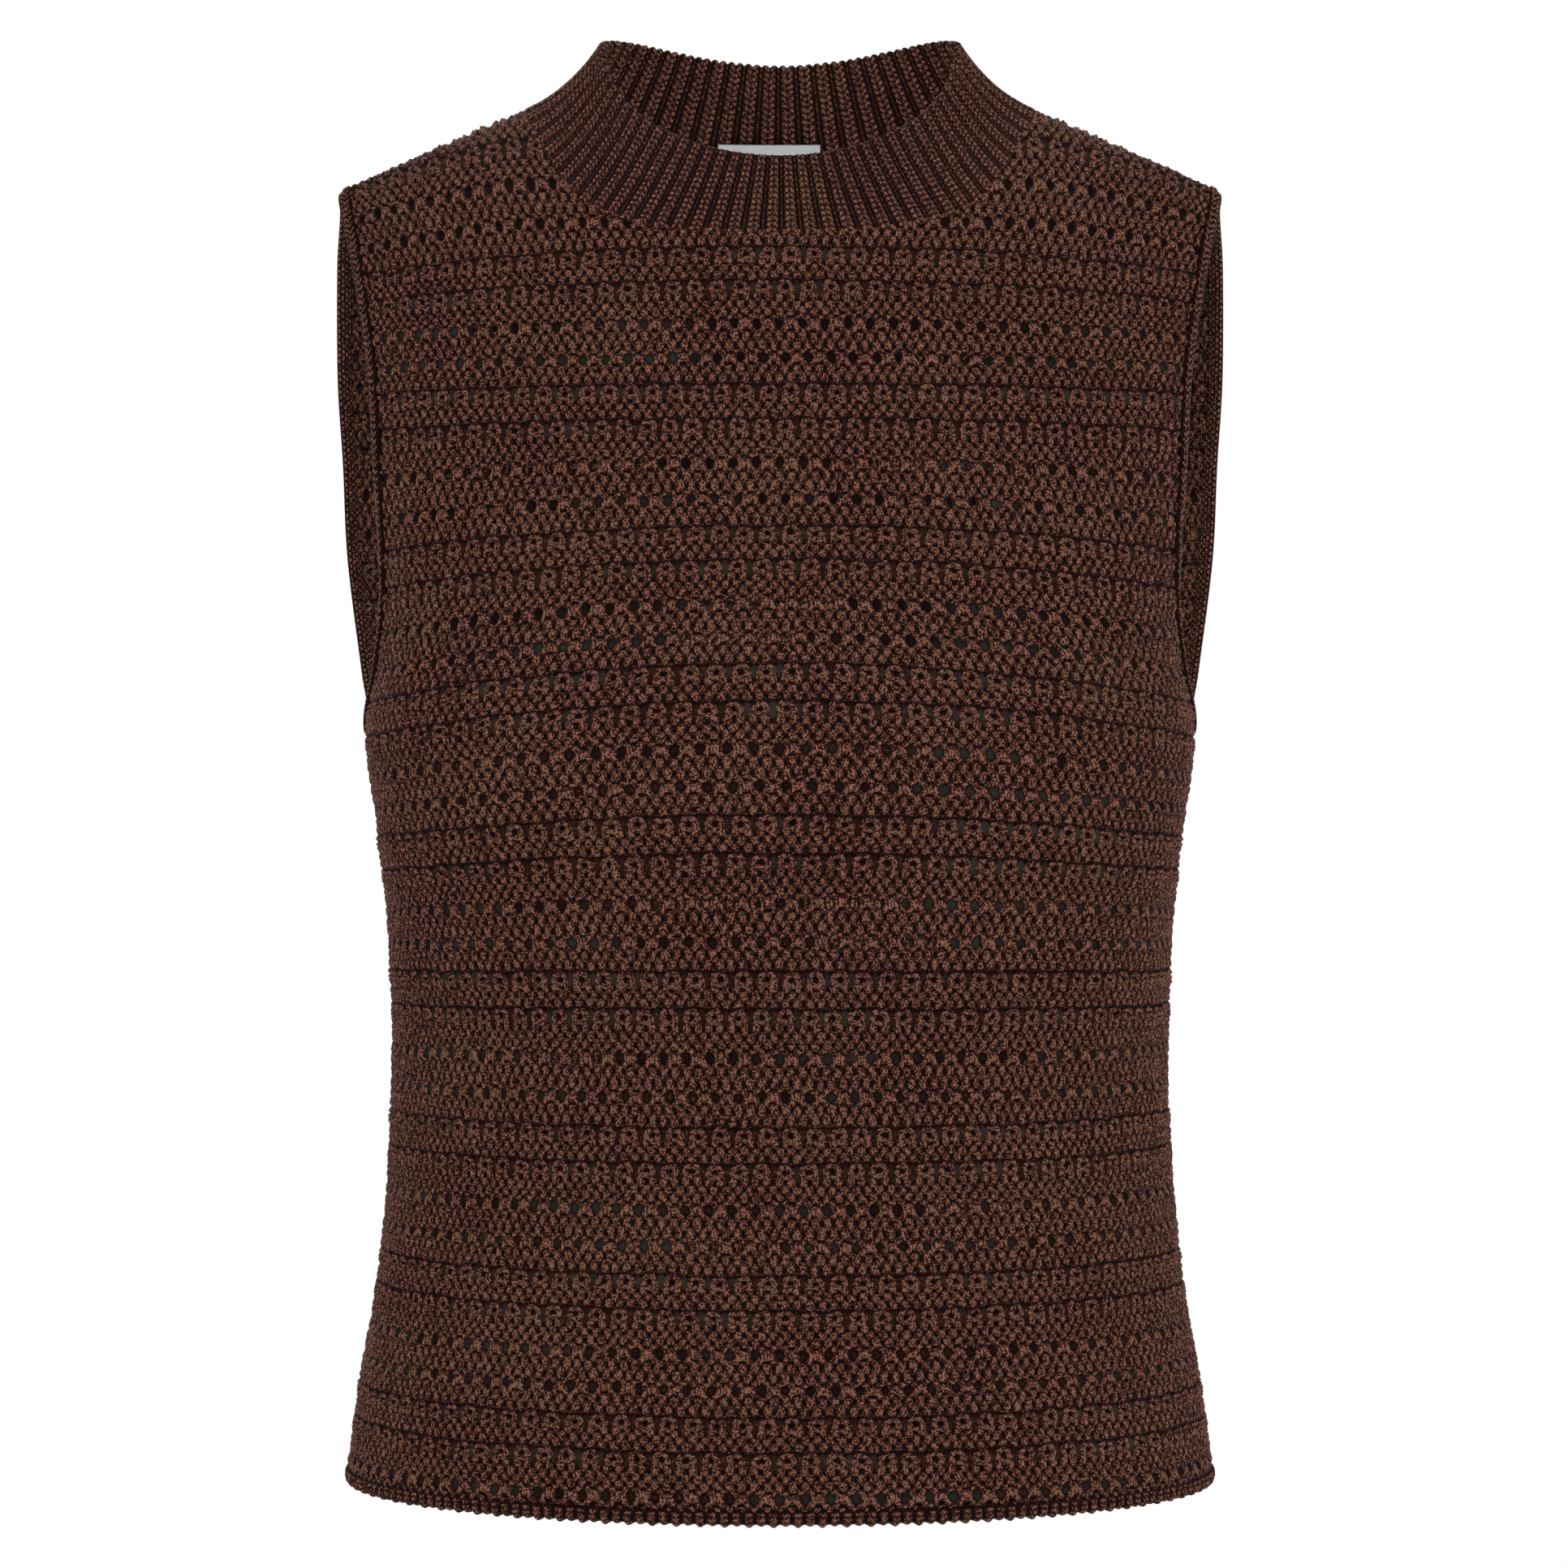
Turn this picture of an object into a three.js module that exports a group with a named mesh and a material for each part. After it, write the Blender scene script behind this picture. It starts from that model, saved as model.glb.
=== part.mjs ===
// Sleeveless mock-neck knit top, filled out and hollow, as it stands when it is worn.
// Millimetres. +Z is up, the front faces -Y and +X is on the viewer's right.
// The origin is midway between the two points where the shoulder seams meet the collar,
// which is where the top hangs from the wearer's shoulders.

import * as THREE from 'three';

// ---------- driving sizes ----------

const WALL = 3;                 // thickness of the body's knit
const COLLAR_WALL = 4;          // thickness of the ribbed collar
const HALF_SEAM = 0.15;         // half of the gap between two panels at a seam
const SEAM_GAP = 0.35;          // gap between a panel and the welt or trim at its edge
const COLLAR_GAP = 0.5;         // the same below the collar

const NECK_HALF_WIDTH = 103;    // from the middle to the collar along the shoulder
const SHOULDER_END = 173;       // from the middle to the armhole edge of the panels
const SHOULDER_SLOPE = 0.44;    // fall of the shoulder seam for each unit outwards
const SHOULDER_ROLL = 90;       // height over which the cloth turns over the shoulder
const NAPE_SOFTENING = 28;      // rounds the two shoulder slopes into each other at the nape

const YOKE_LOW = -95;           // below this height the rows of the grid are level
const UNDERARM = -250;          // lowest point of the panels' armhole edge
const SCOOP_TOP = -185;         // where the armhole edge begins to round in to the underarm
const SCOOP_POWER = 2.2;
const PANEL_LOW = -542.5;       // lower edge of the panels
const HEM_LOW = -549.5;         // lower edge of the hem welt

const TRIM_WIDTH = 5;           // armhole trim
const LABEL_WIDTH = 42;
const LABEL_HEIGHT = 30;
const LABEL_THICKNESS = 1;
const LABEL_TOP = -7.5;
const LABEL_MIDDLE = -4.5;      // the label is sewn a little off the middle of the nape
const LABEL_CLEARANCE = 0.6;    // from the collar's inner face

const NECK_STEPS = 10;          // grid columns on half a neckline
const SHOULDER_STEPS = 4;       // grid columns along one shoulder seam
const YOKE_STEPS = 6;           // grid rows between the shoulder and YOKE_LOW
const COLLAR_STEPS = 4;         // grid rows up the collar
const BODY_LEVELS = [
  YOKE_LOW, -117, -139, -161, -182, -200, -215, -227, -237, -244.5, -248.5, UNDERARM,
  -270, -295, -325, -360, -395, -430, -462, -490, -517, PANEL_LOW,
];

// Level sections of the body. halfFront and halfBack are the half widths of the full
// curves, front and back their depths in the middle, side where the two meet. roundFront
// and roundBack are the powers of the curves: 2 is an ellipse, more is flatter in the
// middle. openFront and openBack say how far round from the side the armhole has cut.
const SECTIONS = [
  { z: 46, halfFront: 187, halfBack: 181, front: -44, back: 46, side: 5,
    roundFront: 2.1, roundBack: 2.5, openFront: 0.33, openBack: 0.4 },
  { z: -31, halfFront: 183.6, halfBack: 182.1, front: -66, back: 69, side: 5,
    roundFront: 2.1, roundBack: 2.6, openFront: 0.36, openBack: 0.45 },
  { z: -60, halfFront: 181.6, halfBack: 186.6, front: -75, back: 78, side: 5,
    roundFront: 2.1, roundBack: 2.8, openFront: 0.42, openBack: 0.5 },
  { z: -105, halfFront: 176.2, halfBack: 189.3, front: -87, back: 88, side: 5,
    roundFront: 2.1, roundBack: 3, openFront: 0.45, openBack: 0.545 },
  { z: -140, halfFront: 173.6, halfBack: 187.9, front: -97, back: 94, side: 6,
    roundFront: 2.15, roundBack: 3, openFront: 0.46, openBack: 0.55 },
  { z: -175, halfFront: 167.6, halfBack: 185.2, front: -107, back: 97, side: 7,
    roundFront: 2.3, roundBack: 3, openFront: 0.45, openBack: 0.53 },
  { z: -200, halfFront: 163, halfBack: 181.5, front: -114, back: 98, side: 8,
    roundFront: 2.55, roundBack: 2.9, openFront: 0.44, openBack: 0.51 },
  { z: -225, halfFront: 162.5, halfBack: 174.5, front: -120, back: 98, side: 9,
    roundFront: 2.75, roundBack: 2.8, openFront: 0.44, openBack: 0.5 },
  { z: -250, halfFront: 165, halfBack: 165, front: -123, back: 96, side: 10,
    roundFront: 2.8, roundBack: 2.65, openFront: 0.44, openBack: 0.5 },
  { z: -284, halfFront: 161.8, halfBack: 161.8, front: -123, back: 91, side: 10,
    roundFront: 2.7, roundBack: 2.5, openFront: 0.44, openBack: 0.5 },
  { z: -315, halfFront: 157.8, halfBack: 157.8, front: -120, back: 85, side: 10,
    roundFront: 2.4, roundBack: 2.4, openFront: 0.44, openBack: 0.5 },
  { z: -370, halfFront: 156, halfBack: 156, front: -115, back: 78, side: 10,
    roundFront: 2.05, roundBack: 2.2, openFront: 0.44, openBack: 0.5 },
  { z: -420, halfFront: 157.2, halfBack: 157.2, front: -116, back: 81, side: 10,
    roundFront: 2, roundBack: 2.2, openFront: 0.44, openBack: 0.5 },
  { z: -465, halfFront: 161.2, halfBack: 161.2, front: -119, back: 88, side: 9,
    roundFront: 2, roundBack: 2.2, openFront: 0.44, openBack: 0.5 },
  { z: -505, halfFront: 168, halfBack: 168, front: -121, back: 93, side: 8,
    roundFront: 2, roundBack: 2.2, openFront: 0.44, openBack: 0.5 },
  { z: HEM_LOW, halfFront: 174.3, halfBack: 174.3, front: -122, back: 96, side: 8,
    roundFront: 2, roundBack: 2.2, openFront: 0.44, openBack: 0.5 },
];

// The collar, from the middle of the front (turn 0) round to the nape (turn 180): where
// its seam lies on the body, where its top edge lies, and how far the band is hollowed
// between the two.
const NECK = [
  { turn: 0, seamX: 0, seamZ: -58, topX: 0, topY: -62, topZ: -28, hollow: 0.5 },
  { turn: 20, seamX: 33, seamZ: -57, topX: 22, topY: -58.5, topZ: -26, hollow: 0.6 },
  { turn: 40, seamX: 60, seamZ: -52, topX: 42, topY: -49.5, topZ: -18.5, hollow: 1 },
  { turn: 58, seamX: 77, seamZ: -44, topX: 56.5, topY: -37, topZ: -8, hollow: 1.6 },
  { turn: 70, seamX: 88, seamZ: -29, topX: 65.5, topY: -23, topZ: 4.5, hollow: 2.2 },
  { turn: 80, seamX: 96, seamZ: -14.5, topX: 70.5, topY: -9.5, topZ: 16, hollow: 2.7 },
  { turn: 90, seamX: NECK_HALF_WIDTH, seamZ: 0, topX: 72.5, topY: 4, topZ: 25.5, hollow: 3 },
  { turn: 103, seamX: 100, seamZ: -4, topX: 71, topY: 18, topZ: 29.5, hollow: 2.6 },
  { turn: 120, seamX: 88, seamZ: -8.5, topX: 63, topY: 31, topZ: 30.5, hollow: 2 },
  { turn: 140, seamX: 62, seamZ: -11.2, topX: 45.5, topY: 42, topZ: 28.5, hollow: 1.2 },
  { turn: 160, seamX: 31, seamZ: -11.4, topX: 23.5, topY: 49.5, topZ: 26, hollow: 0.8 },
  { turn: 180, seamX: 0, seamZ: -11, topX: 0, topY: 52, topZ: 25, hollow: 0.6 },
];

// ---------- smooth reading of a table ----------

// Returns a function that reads every column of rows smoothly at a value of the key.
// mirrored says that the curve goes on as its own reflection past both ends.
function smoothTable(rows, key, mirrored = false) {
  const sorted = [...rows].sort((a, b) => a[key] - b[key]);
  const columns = Object.keys(sorted[0]).filter((name) => name !== key);
  const last = sorted.length - 1;

  function slope(name, i) {
    const flatEnd = mirrored && name !== 'seamX' && name !== 'topX';
    if (flatEnd && (i === 0 || i === last)) return 0;
    const a = sorted[Math.max(i - 1, 0)];
    const b = sorted[Math.min(i + 1, last)];
    return (b[name] - a[name]) / (b[key] - a[key]);
  }

  return function read(value) {
    let i = 0;
    while (i < last - 1 && value > sorted[i + 1][key]) i += 1;
    const a = sorted[i];
    const b = sorted[i + 1];
    const span = b[key] - a[key];
    const t = Math.min(Math.max((value - a[key]) / span, 0), 1);
    const rise = t * t * (3 - 2 * t);
    const lean = t * (1 - t) * (1 - t) * span;
    const trail = t * t * (t - 1) * span;
    const found = {};
    for (const name of columns) {
      found[name] = a[name] + (b[name] - a[name]) * rise
        + slope(name, i) * lean + slope(name, i + 1) * trail;
    }
    return found;
  };
}

const sectionAt = smoothTable(SECTIONS, 'z');
const neckAt = smoothTable(NECK, 'turn', true);

// ---------- the form of the body ----------

const FRONT = 'front';
const BACK = 'back';

function ridgeHeight(x) {
  const out = Math.sqrt(x * x + NAPE_SOFTENING * NAPE_SOFTENING);
  const seam = Math.sqrt(NECK_HALF_WIDTH ** 2 + NAPE_SOFTENING ** 2);
  return SHOULDER_SLOPE * (seam - out);
}

function halfCurve(face, z) {
  const s = sectionAt(z);
  return face === FRONT
    ? { half: s.halfFront, depth: s.front, side: s.side, power: s.roundFront, open: s.openFront }
    : { half: s.halfBack, depth: s.back, side: s.side, power: s.roundBack, open: s.openBack };
}

// Depth of the outer face of a panel at x and z.
function clothDepth(face, x, z) {
  const { half, depth, side, power } = halfCurve(face, z);
  const share = Math.min(Math.abs(x) / half, 1);
  const bow = (1 - share ** power) ** (1 / power);
  const fall = Math.min(Math.max((ridgeHeight(x) - z) / SHOULDER_ROLL, 0), 1);
  const roll = Math.sqrt(1 - (1 - fall) ** 2);
  return side + (depth - side) * bow * roll;
}

function clothPoint(face, x, z) {
  return new THREE.Vector3(x, clothDepth(face, x, z), z);
}

// Half width of a panel at height z: to the armhole edge, or to the side seam below it.
function panelEdge(face, z) {
  const { half, power, open } = halfCurve(face, z);
  const scoop = Math.min(Math.max((SCOOP_TOP - z) / (SCOOP_TOP - UNDERARM), 0), 1);
  const cut = open * (1 - scoop ** SCOOP_POWER) ** (1 / SCOOP_POWER);
  return half * (1 - cut ** power) ** (1 / power);
}

// x at a share (0 to 1) of the way round from the middle of a level row to its edge.
function rowPlace(face, z, share) {
  const fine = 160;
  const edge = panelEdge(face, z);
  const places = [0];
  const lengths = [0];
  let before = clothPoint(face, 0, z);
  for (let i = 1; i <= fine; i += 1) {
    const x = edge * Math.sin((i / fine) * Math.PI / 2);
    const point = clothPoint(face, x, z);
    places.push(x);
    lengths.push(lengths[i - 1] + point.distanceTo(before));
    before = point;
  }
  const wanted = share * lengths[fine];
  let i = 1;
  while (i < fine && lengths[i] < wanted) i += 1;
  const part = (wanted - lengths[i - 1]) / (lengths[i] - lengths[i - 1]);
  return places[i - 1] + (places[i] - places[i - 1]) * part;
}

// Top end of grid column i of half a panel, counted from the middle out: first along the
// neckline, then along the shoulder seam.
function columnTop(face, i) {
  if (i <= NECK_STEPS) {
    const turn = (i / NECK_STEPS) * 90;
    const row = neckAt(face === FRONT ? turn : 180 - turn);
    const widened = 1 + COLLAR_GAP / NECK_HALF_WIDTH;
    const lowered = i < NECK_STEPS ? COLLAR_GAP : 0;
    const x = row.seamX * widened;
    return { x, z: Math.min(row.seamZ - lowered, ridgeHeight(x)) };
  }
  const inner = NECK_HALF_WIDTH + COLLAR_GAP;
  const x = inner + (SHOULDER_END - inner) * (i - NECK_STEPS) / SHOULDER_STEPS;
  return { x, z: ridgeHeight(x) };
}

// Points down one grid column from its top end to YOKE_LOW, evenly spaced on the cloth.
function yokeColumn(face, i, columns) {
  const top = columnTop(face, i);
  const lowX = rowPlace(face, YOKE_LOW, i / columns);
  const topShare = top.x / panelEdge(face, top.z);
  const lowShare = lowX / panelEdge(face, YOKE_LOW);
  const fine = 120;
  const points = [];
  const lengths = [0];
  for (let k = 0; k <= fine; k += 1) {
    const way = k / fine;
    const down = way * way;
    const z = top.z + (YOKE_LOW - top.z) * down;
    const x = (topShare + (lowShare - topShare) * down) * panelEdge(face, z);
    points.push(clothPoint(face, x, z));
    if (k > 0) lengths.push(lengths[k - 1] + points[k].distanceTo(points[k - 1]));
  }
  points[0].set(top.x, clothDepth(face, top.x, top.z), top.z);
  const column = [];
  for (let row = 0; row < YOKE_STEPS; row += 1) {
    const wanted = lengths[fine] * row / YOKE_STEPS;
    let k = 1;
    while (k < fine && lengths[k] < wanted) k += 1;
    const part = (wanted - lengths[k - 1]) / (lengths[k] - lengths[k - 1]);
    column.push(points[k - 1].clone().lerp(points[k], part));
  }
  return column;
}

// The outer face of a panel as rows of points, from -x to +x, top row first.
function panelGrid(face) {
  const columns = NECK_STEPS + SHOULDER_STEPS;
  const halfRows = [];
  for (let row = 0; row < YOKE_STEPS + BODY_LEVELS.length; row += 1) halfRows.push([]);
  for (let i = 0; i <= columns; i += 1) {
    yokeColumn(face, i, columns).forEach((point, row) => halfRows[row].push(point));
    BODY_LEVELS.forEach((z, k) => {
      const x = rowPlace(face, z, i / columns);
      halfRows[YOKE_STEPS + k].push(clothPoint(face, x, z));
    });
  }
  const away = face === FRONT ? -HALF_SEAM : HALF_SEAM;
  for (let row = 0; row < halfRows.length; row += 1) {
    const onSide = row >= YOKE_STEPS && BODY_LEVELS[row - YOKE_STEPS] <= UNDERARM;
    if (onSide) halfRows[row][columns].y += away;
  }
  for (let i = NECK_STEPS; i <= columns; i += 1) halfRows[0][i].y += away;
  return halfRows.map((half) => {
    const left = half.slice(1).reverse().map((p) => new THREE.Vector3(-p.x, p.y, p.z));
    return [...left, ...half];
  });
}

// Outward normals of a grid. Along the shoulder and side seams they lie in the seam's
// plane, so that the two panels meet face to face.
function gridNormals(grid, face) {
  const rows = grid.length;
  const columns = grid[0].length;
  const outward = face === FRONT ? -1 : 1;
  const middle = (columns - 1) / 2;
  const onShoulder = (column) => Math.abs(column - middle) >= NECK_STEPS;
  return grid.map((line, row) => line.map((point, column) => {
    const across = line[Math.min(column + 1, columns - 1)].clone()
      .sub(line[Math.max(column - 1, 0)]);
    const down = grid[Math.min(row + 1, rows - 1)][column].clone()
      .sub(grid[Math.max(row - 1, 0)][column]);
    const sideRow = row >= YOKE_STEPS && BODY_LEVELS[row - YOKE_STEPS] <= UNDERARM;
    if (row === 0 && onShoulder(column)) {
      const step = column > middle ? 1 : -1;
      const from = column === middle + step * middle ? column - step : column;
      across.copy(line[from + step]).sub(line[from]).multiplyScalar(step).setY(0);
      down.set(0, outward, 0);
    } else if (sideRow && (column === 0 || column === columns - 1)) {
      const here = Math.max(row - 1, YOKE_STEPS + BODY_LEVELS.indexOf(UNDERARM));
      down.copy(grid[Math.min(row + 1, rows - 1)][column]).sub(grid[here][column]);
      down.y = 0;
      across.set(0, column === 0 ? outward : -outward, 0);
    }
    return across.cross(down).normalize().multiplyScalar(outward);
  }));
}

// ---------- closed bodies from grids of points ----------

function geometryFrom(points, triangles) {
  const geometry = new THREE.BufferGeometry();
  const flat = points.flatMap((p) => [p.x, p.y, p.z]);
  geometry.setAttribute('position', new THREE.Float32BufferAttribute(flat, 3));
  geometry.setIndex(triangles);
  geometry.computeVertexNormals();
  return geometry;
}

function signedVolume(points, triangles) {
  let sum = 0;
  for (let i = 0; i < triangles.length; i += 3) {
    const [a, b, c] = triangles.slice(i, i + 3).map((k) => points[k]);
    sum += a.dot(b.clone().cross(c));
  }
  return sum / 6;
}

function closedBody(points, triangles) {
  const outward = signedVolume(points, triangles) > 0;
  const facing = [];
  for (let i = 0; i < triangles.length; i += 3) {
    const [a, b, c] = triangles.slice(i, i + 3);
    facing.push(a, outward ? b : c, outward ? c : b);
  }
  return geometryFrom(points, facing);
}

// Fills a twisted quad from its middle, so that the faces on both sides of a seam agree.
function fillFromMiddle(points, triangles, corners) {
  const middle = corners.reduce((sum, k) => sum.add(points[k]), new THREE.Vector3());
  points.push(middle.divideScalar(corners.length));
  corners.forEach((corner, i) => {
    triangles.push(corner, corners[(i + 1) % corners.length], points.length - 1);
  });
}

// A wall between two grids of the same size, closed round its edge.
function wallBody(outer, inner) {
  const rows = outer.length;
  const columns = outer[0].length;
  const points = [...outer.flat(), ...inner.flat()];
  const shift = rows * columns;
  const at = (row, column) => row * columns + column;
  const triangles = [];
  const quad = (a, b, c, d) => triangles.push(a, b, c, a, c, d);
  for (let r = 0; r + 1 < rows; r += 1) {
    for (let c = 0; c + 1 < columns; c += 1) {
      const [a, b, d, e] = [at(r, c), at(r, c + 1), at(r + 1, c + 1), at(r + 1, c)];
      quad(a, b, d, e);
      quad(a + shift, e + shift, d + shift, b + shift);
    }
  }
  const border = [];
  for (let c = 0; c + 1 < columns; c += 1) border.push(at(0, c));
  for (let r = 0; r + 1 < rows; r += 1) border.push(at(r, columns - 1));
  for (let c = columns - 1; c > 0; c -= 1) border.push(at(rows - 1, c));
  for (let r = rows - 1; r > 0; r -= 1) border.push(at(r, 0));
  border.forEach((a, i) => {
    const b = border[(i + 1) % border.length];
    fillFromMiddle(points, triangles, [b, a, a + shift, b + shift]);
  });
  return closedBody(points, triangles);
}

// A body from closed sections of the same length. ring joins the last to the first. The
// side between a section's last and first points is the one that faces a seam.
function loftBody(sections, ring) {
  const count = sections.length;
  const sides = sections[0].length;
  const points = sections.flat();
  const triangles = [];
  const spans = ring ? count : count - 1;
  for (let k = 0; k < spans; k += 1) {
    const next = (k + 1) % count;
    for (let s = 0; s < sides; s += 1) {
      const t = (s + 1) % sides;
      const [a, b, c, d] = [k * sides + s, k * sides + t, next * sides + t, next * sides + s];
      if (t === 0) fillFromMiddle(points, triangles, [a, b, c, d]);
      else triangles.push(a, b, c, a, c, d);
    }
  }
  if (!ring) {
    for (let s = 1; s + 1 < sides; s += 1) {
      const end = (count - 1) * sides;
      triangles.push(0, s + 1, s, end, end + s, end + s + 1);
    }
  }
  return closedBody(points, triangles);
}

// ---------- the pieces ----------

function moved(point, direction, distance) {
  return point.clone().addScaledVector(direction, distance);
}

function panel(face) {
  const outer = panelGrid(face);
  const normals = gridNormals(outer, face);
  const inner = outer.map((line, r) => line.map((p, c) => moved(p, normals[r][c], -WALL)));
  return { outer, normals, inner };
}

const frontPanel = panel(FRONT);
const backPanel = panel(BACK);

// Points and normals of the collar seam all round, from the middle of the front towards
// +x, over the shoulder, to the nape and back along -x.
function neckSeam() {
  const middle = NECK_STEPS + SHOULDER_STEPS;
  const half = [];
  for (let i = 0; i <= 2 * NECK_STEPS; i += 1) {
    const turn = (i / (2 * NECK_STEPS)) * 180;
    const row = neckAt(turn);
    const onFront = i <= NECK_STEPS;
    const face = onFront ? FRONT : BACK;
    const column = middle + (onFront ? i : 2 * NECK_STEPS - i);
    const source = onFront ? frontPanel : backPanel;
    const z = Math.min(row.seamZ, ridgeHeight(row.seamX));
    half.push({
      turn,
      point: clothPoint(face, row.seamX, z),
      normal: source.normals[0][column].clone(),
      top: new THREE.Vector3(row.topX, row.topY, row.topZ),
      hollow: row.hollow,
    });
  }
  const mirror = (v) => new THREE.Vector3(-v.x, v.y, v.z);
  const other = half.slice(1, -1).reverse().map((s) => ({
    turn: 360 - s.turn,
    point: mirror(s.point),
    normal: mirror(s.normal),
    top: mirror(s.top),
    hollow: s.hollow,
  }));
  return [...half, ...other];
}

function collarBody() {
  const seam = neckSeam();
  const axis = new THREE.Vector3(0, -4, 0);
  const sections = seam.map(({ point, normal, top, hollow }, k) => {
    const before = seam[(k + seam.length - 1) % seam.length];
    const after = seam[(k + 1) % seam.length];
    const along = after.top.clone().sub(before.top);
    const up = top.clone().sub(point);
    const out = along.cross(up).normalize();
    const fromAxis = top.clone().sub(axis).setZ(0);
    if (out.dot(fromAxis) < 0) out.negate();
    const bend = point.clone().lerp(top, 0.5).addScaledVector(out, -2 * hollow);
    const outer = [];
    const inner = [];
    for (let step = 0; step <= COLLAR_STEPS; step += 1) {
      const t = step / COLLAR_STEPS;
      const low = point.clone().lerp(bend, t);
      const place = low.lerp(bend.clone().lerp(top, t), t);
      const direction = normal.clone().lerp(out, Math.min(t * 1.6, 1)).normalize();
      outer.push(place);
      inner.push(moved(place, direction, step === 0 ? -WALL : -COLLAR_WALL));
    }
    const crown = top.clone().lerp(inner[COLLAR_STEPS], 0.5).addScaledVector(
      up.clone().normalize(),
      COLLAR_WALL * 0.35,
    );
    return [...outer, crown, ...inner.reverse()];
  });
  return loftBody(sections, true);
}

// The armhole edge of both panels as one loop, from the shoulder down the front and up
// the back.
function armholeLoop(sign) {
  const lastRow = YOKE_STEPS + BODY_LEVELS.indexOf(UNDERARM);
  const column = sign > 0 ? 2 * (NECK_STEPS + SHOULDER_STEPS) : 0;
  const loop = [];
  for (let row = 0; row <= lastRow; row += 1) {
    loop.push({ point: frontPanel.outer[row][column], normal: frontPanel.normals[row][column] });
  }
  for (let row = lastRow - 1; row > 0; row -= 1) {
    loop.push({ point: backPanel.outer[row][column], normal: backPanel.normals[row][column] });
  }
  return loop;
}

function armholeTrim(sign) {
  const loop = armholeLoop(sign);
  const count = loop.length;
  const middle = loop.reduce((sum, s) => sum.add(s.point), new THREE.Vector3())
    .divideScalar(count);
  // across the band from the panel's edge, and proud of the panel's outer face
  const profile = [
    { across: SEAM_GAP, proud: 0 },
    { across: 0.5 * TRIM_WIDTH, proud: 0.8 },
    { across: TRIM_WIDTH, proud: -0.2 },
    { across: TRIM_WIDTH + 0.3, proud: -0.5 * WALL },
    { across: TRIM_WIDTH, proud: -WALL + 0.2 },
    { across: 0.5 * TRIM_WIDTH, proud: -WALL - 0.6 },
    { across: SEAM_GAP, proud: -WALL },
  ];
  const sections = loop.map(({ point, normal }, k) => {
    const before = loop[(k + count - 1) % count].point;
    const after = loop[(k + 1) % count].point;
    const across = after.clone().sub(before).cross(normal).normalize();
    if (across.dot(middle.clone().sub(point)) < 0) across.negate();
    return profile.map((p) => moved(moved(point, across, p.across), normal, p.proud));
  });
  return loftBody(sections, true);
}

function hemWelt(face) {
  const source = face === FRONT ? frontPanel : backPanel;
  const line = source.outer.at(-1);
  const normals = source.normals.at(-1);
  const height = PANEL_LOW - HEM_LOW;
  const spread = sectionAt(HEM_LOW).halfFront / sectionAt(PANEL_LOW).halfFront;
  const profile = [
    { down: SEAM_GAP, proud: 0 },
    { down: 0.4 * height, proud: 0.8 },
    { down: 0.8 * height, proud: 0.6 },
    { down: height, proud: -0.5 * WALL },
    { down: 0.8 * height, proud: -WALL - 0.6 },
    { down: SEAM_GAP, proud: -WALL },
  ];
  const sections = line.map((point, k) => {
    const atSide = k === 0 || k === line.length - 1;
    return profile.map(({ down, proud }) => {
      const wider = 1 + (spread - 1) * down / height;
      const place = new THREE.Vector3(point.x * wider, point.y, point.z - down);
      if (!atSide) place.y = point.y + (wider - 1) * (point.y - sectionAt(HEM_LOW).side);
      return moved(place, normals[k], proud);
    });
  });
  return loftBody(sections, false);
}

// The neck label is sewn over the collar seam at the nape and hangs straight down, bowed
// like the collar behind it.
function neckLabel() {
  const steps = 6;
  const rows = 2;
  const nearNape = NECK[NECK.length - 2];
  const outer = [];
  const inner = [];
  for (let row = 0; row <= rows; row += 1) {
    const z = LABEL_TOP - LABEL_HEIGHT * row / rows;
    const outerLine = [];
    const innerLine = [];
    for (let k = 0; k <= steps; k += 1) {
      const x = LABEL_MIDDLE + LABEL_WIDTH * (k / steps - 0.5);
      const turn = 180 - (180 - nearNape.turn) * Math.abs(x) / nearNape.seamX;
      const behind = clothDepth(BACK, x, neckAt(turn).seamZ) - COLLAR_WALL;
      outerLine.push(new THREE.Vector3(x, behind - LABEL_CLEARANCE, z));
      innerLine.push(new THREE.Vector3(x, behind - LABEL_CLEARANCE - LABEL_THICKNESS, z));
    }
    outer.push(outerLine);
    inner.push(innerLine);
  }
  return wallBody(outer, inner);
}

// ---------- materials and the finished group ----------

const KNIT_BROWN = 0x3f2923;
const LABEL_GREY = 0xc9cbc8;

function knitMaterial() {
  return new THREE.MeshStandardMaterial({ color: KNIT_BROWN, roughness: 0.85, metalness: 0 });
}

function labelMaterial() {
  return new THREE.MeshStandardMaterial({ color: LABEL_GREY, roughness: 0.7, metalness: 0 });
}

const top = new THREE.Group();

function addPiece(name, geometry, material) {
  const mesh = new THREE.Mesh(geometry, material);
  mesh.name = name;
  top.add(mesh);
}

addPiece('front_panel', wallBody(frontPanel.outer, frontPanel.inner), knitMaterial());
addPiece('back_panel', wallBody(backPanel.outer, backPanel.inner), knitMaterial());
addPiece('collar', collarBody(), knitMaterial());
addPiece('armhole_trim_left', armholeTrim(-1), knitMaterial());
addPiece('armhole_trim_right', armholeTrim(1), knitMaterial());
addPiece('hem_front', hemWelt(FRONT), knitMaterial());
addPiece('hem_back', hemWelt(BACK), knitMaterial());
addPiece('neck_label', neckLabel(), labelMaterial());

export default top;
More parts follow.
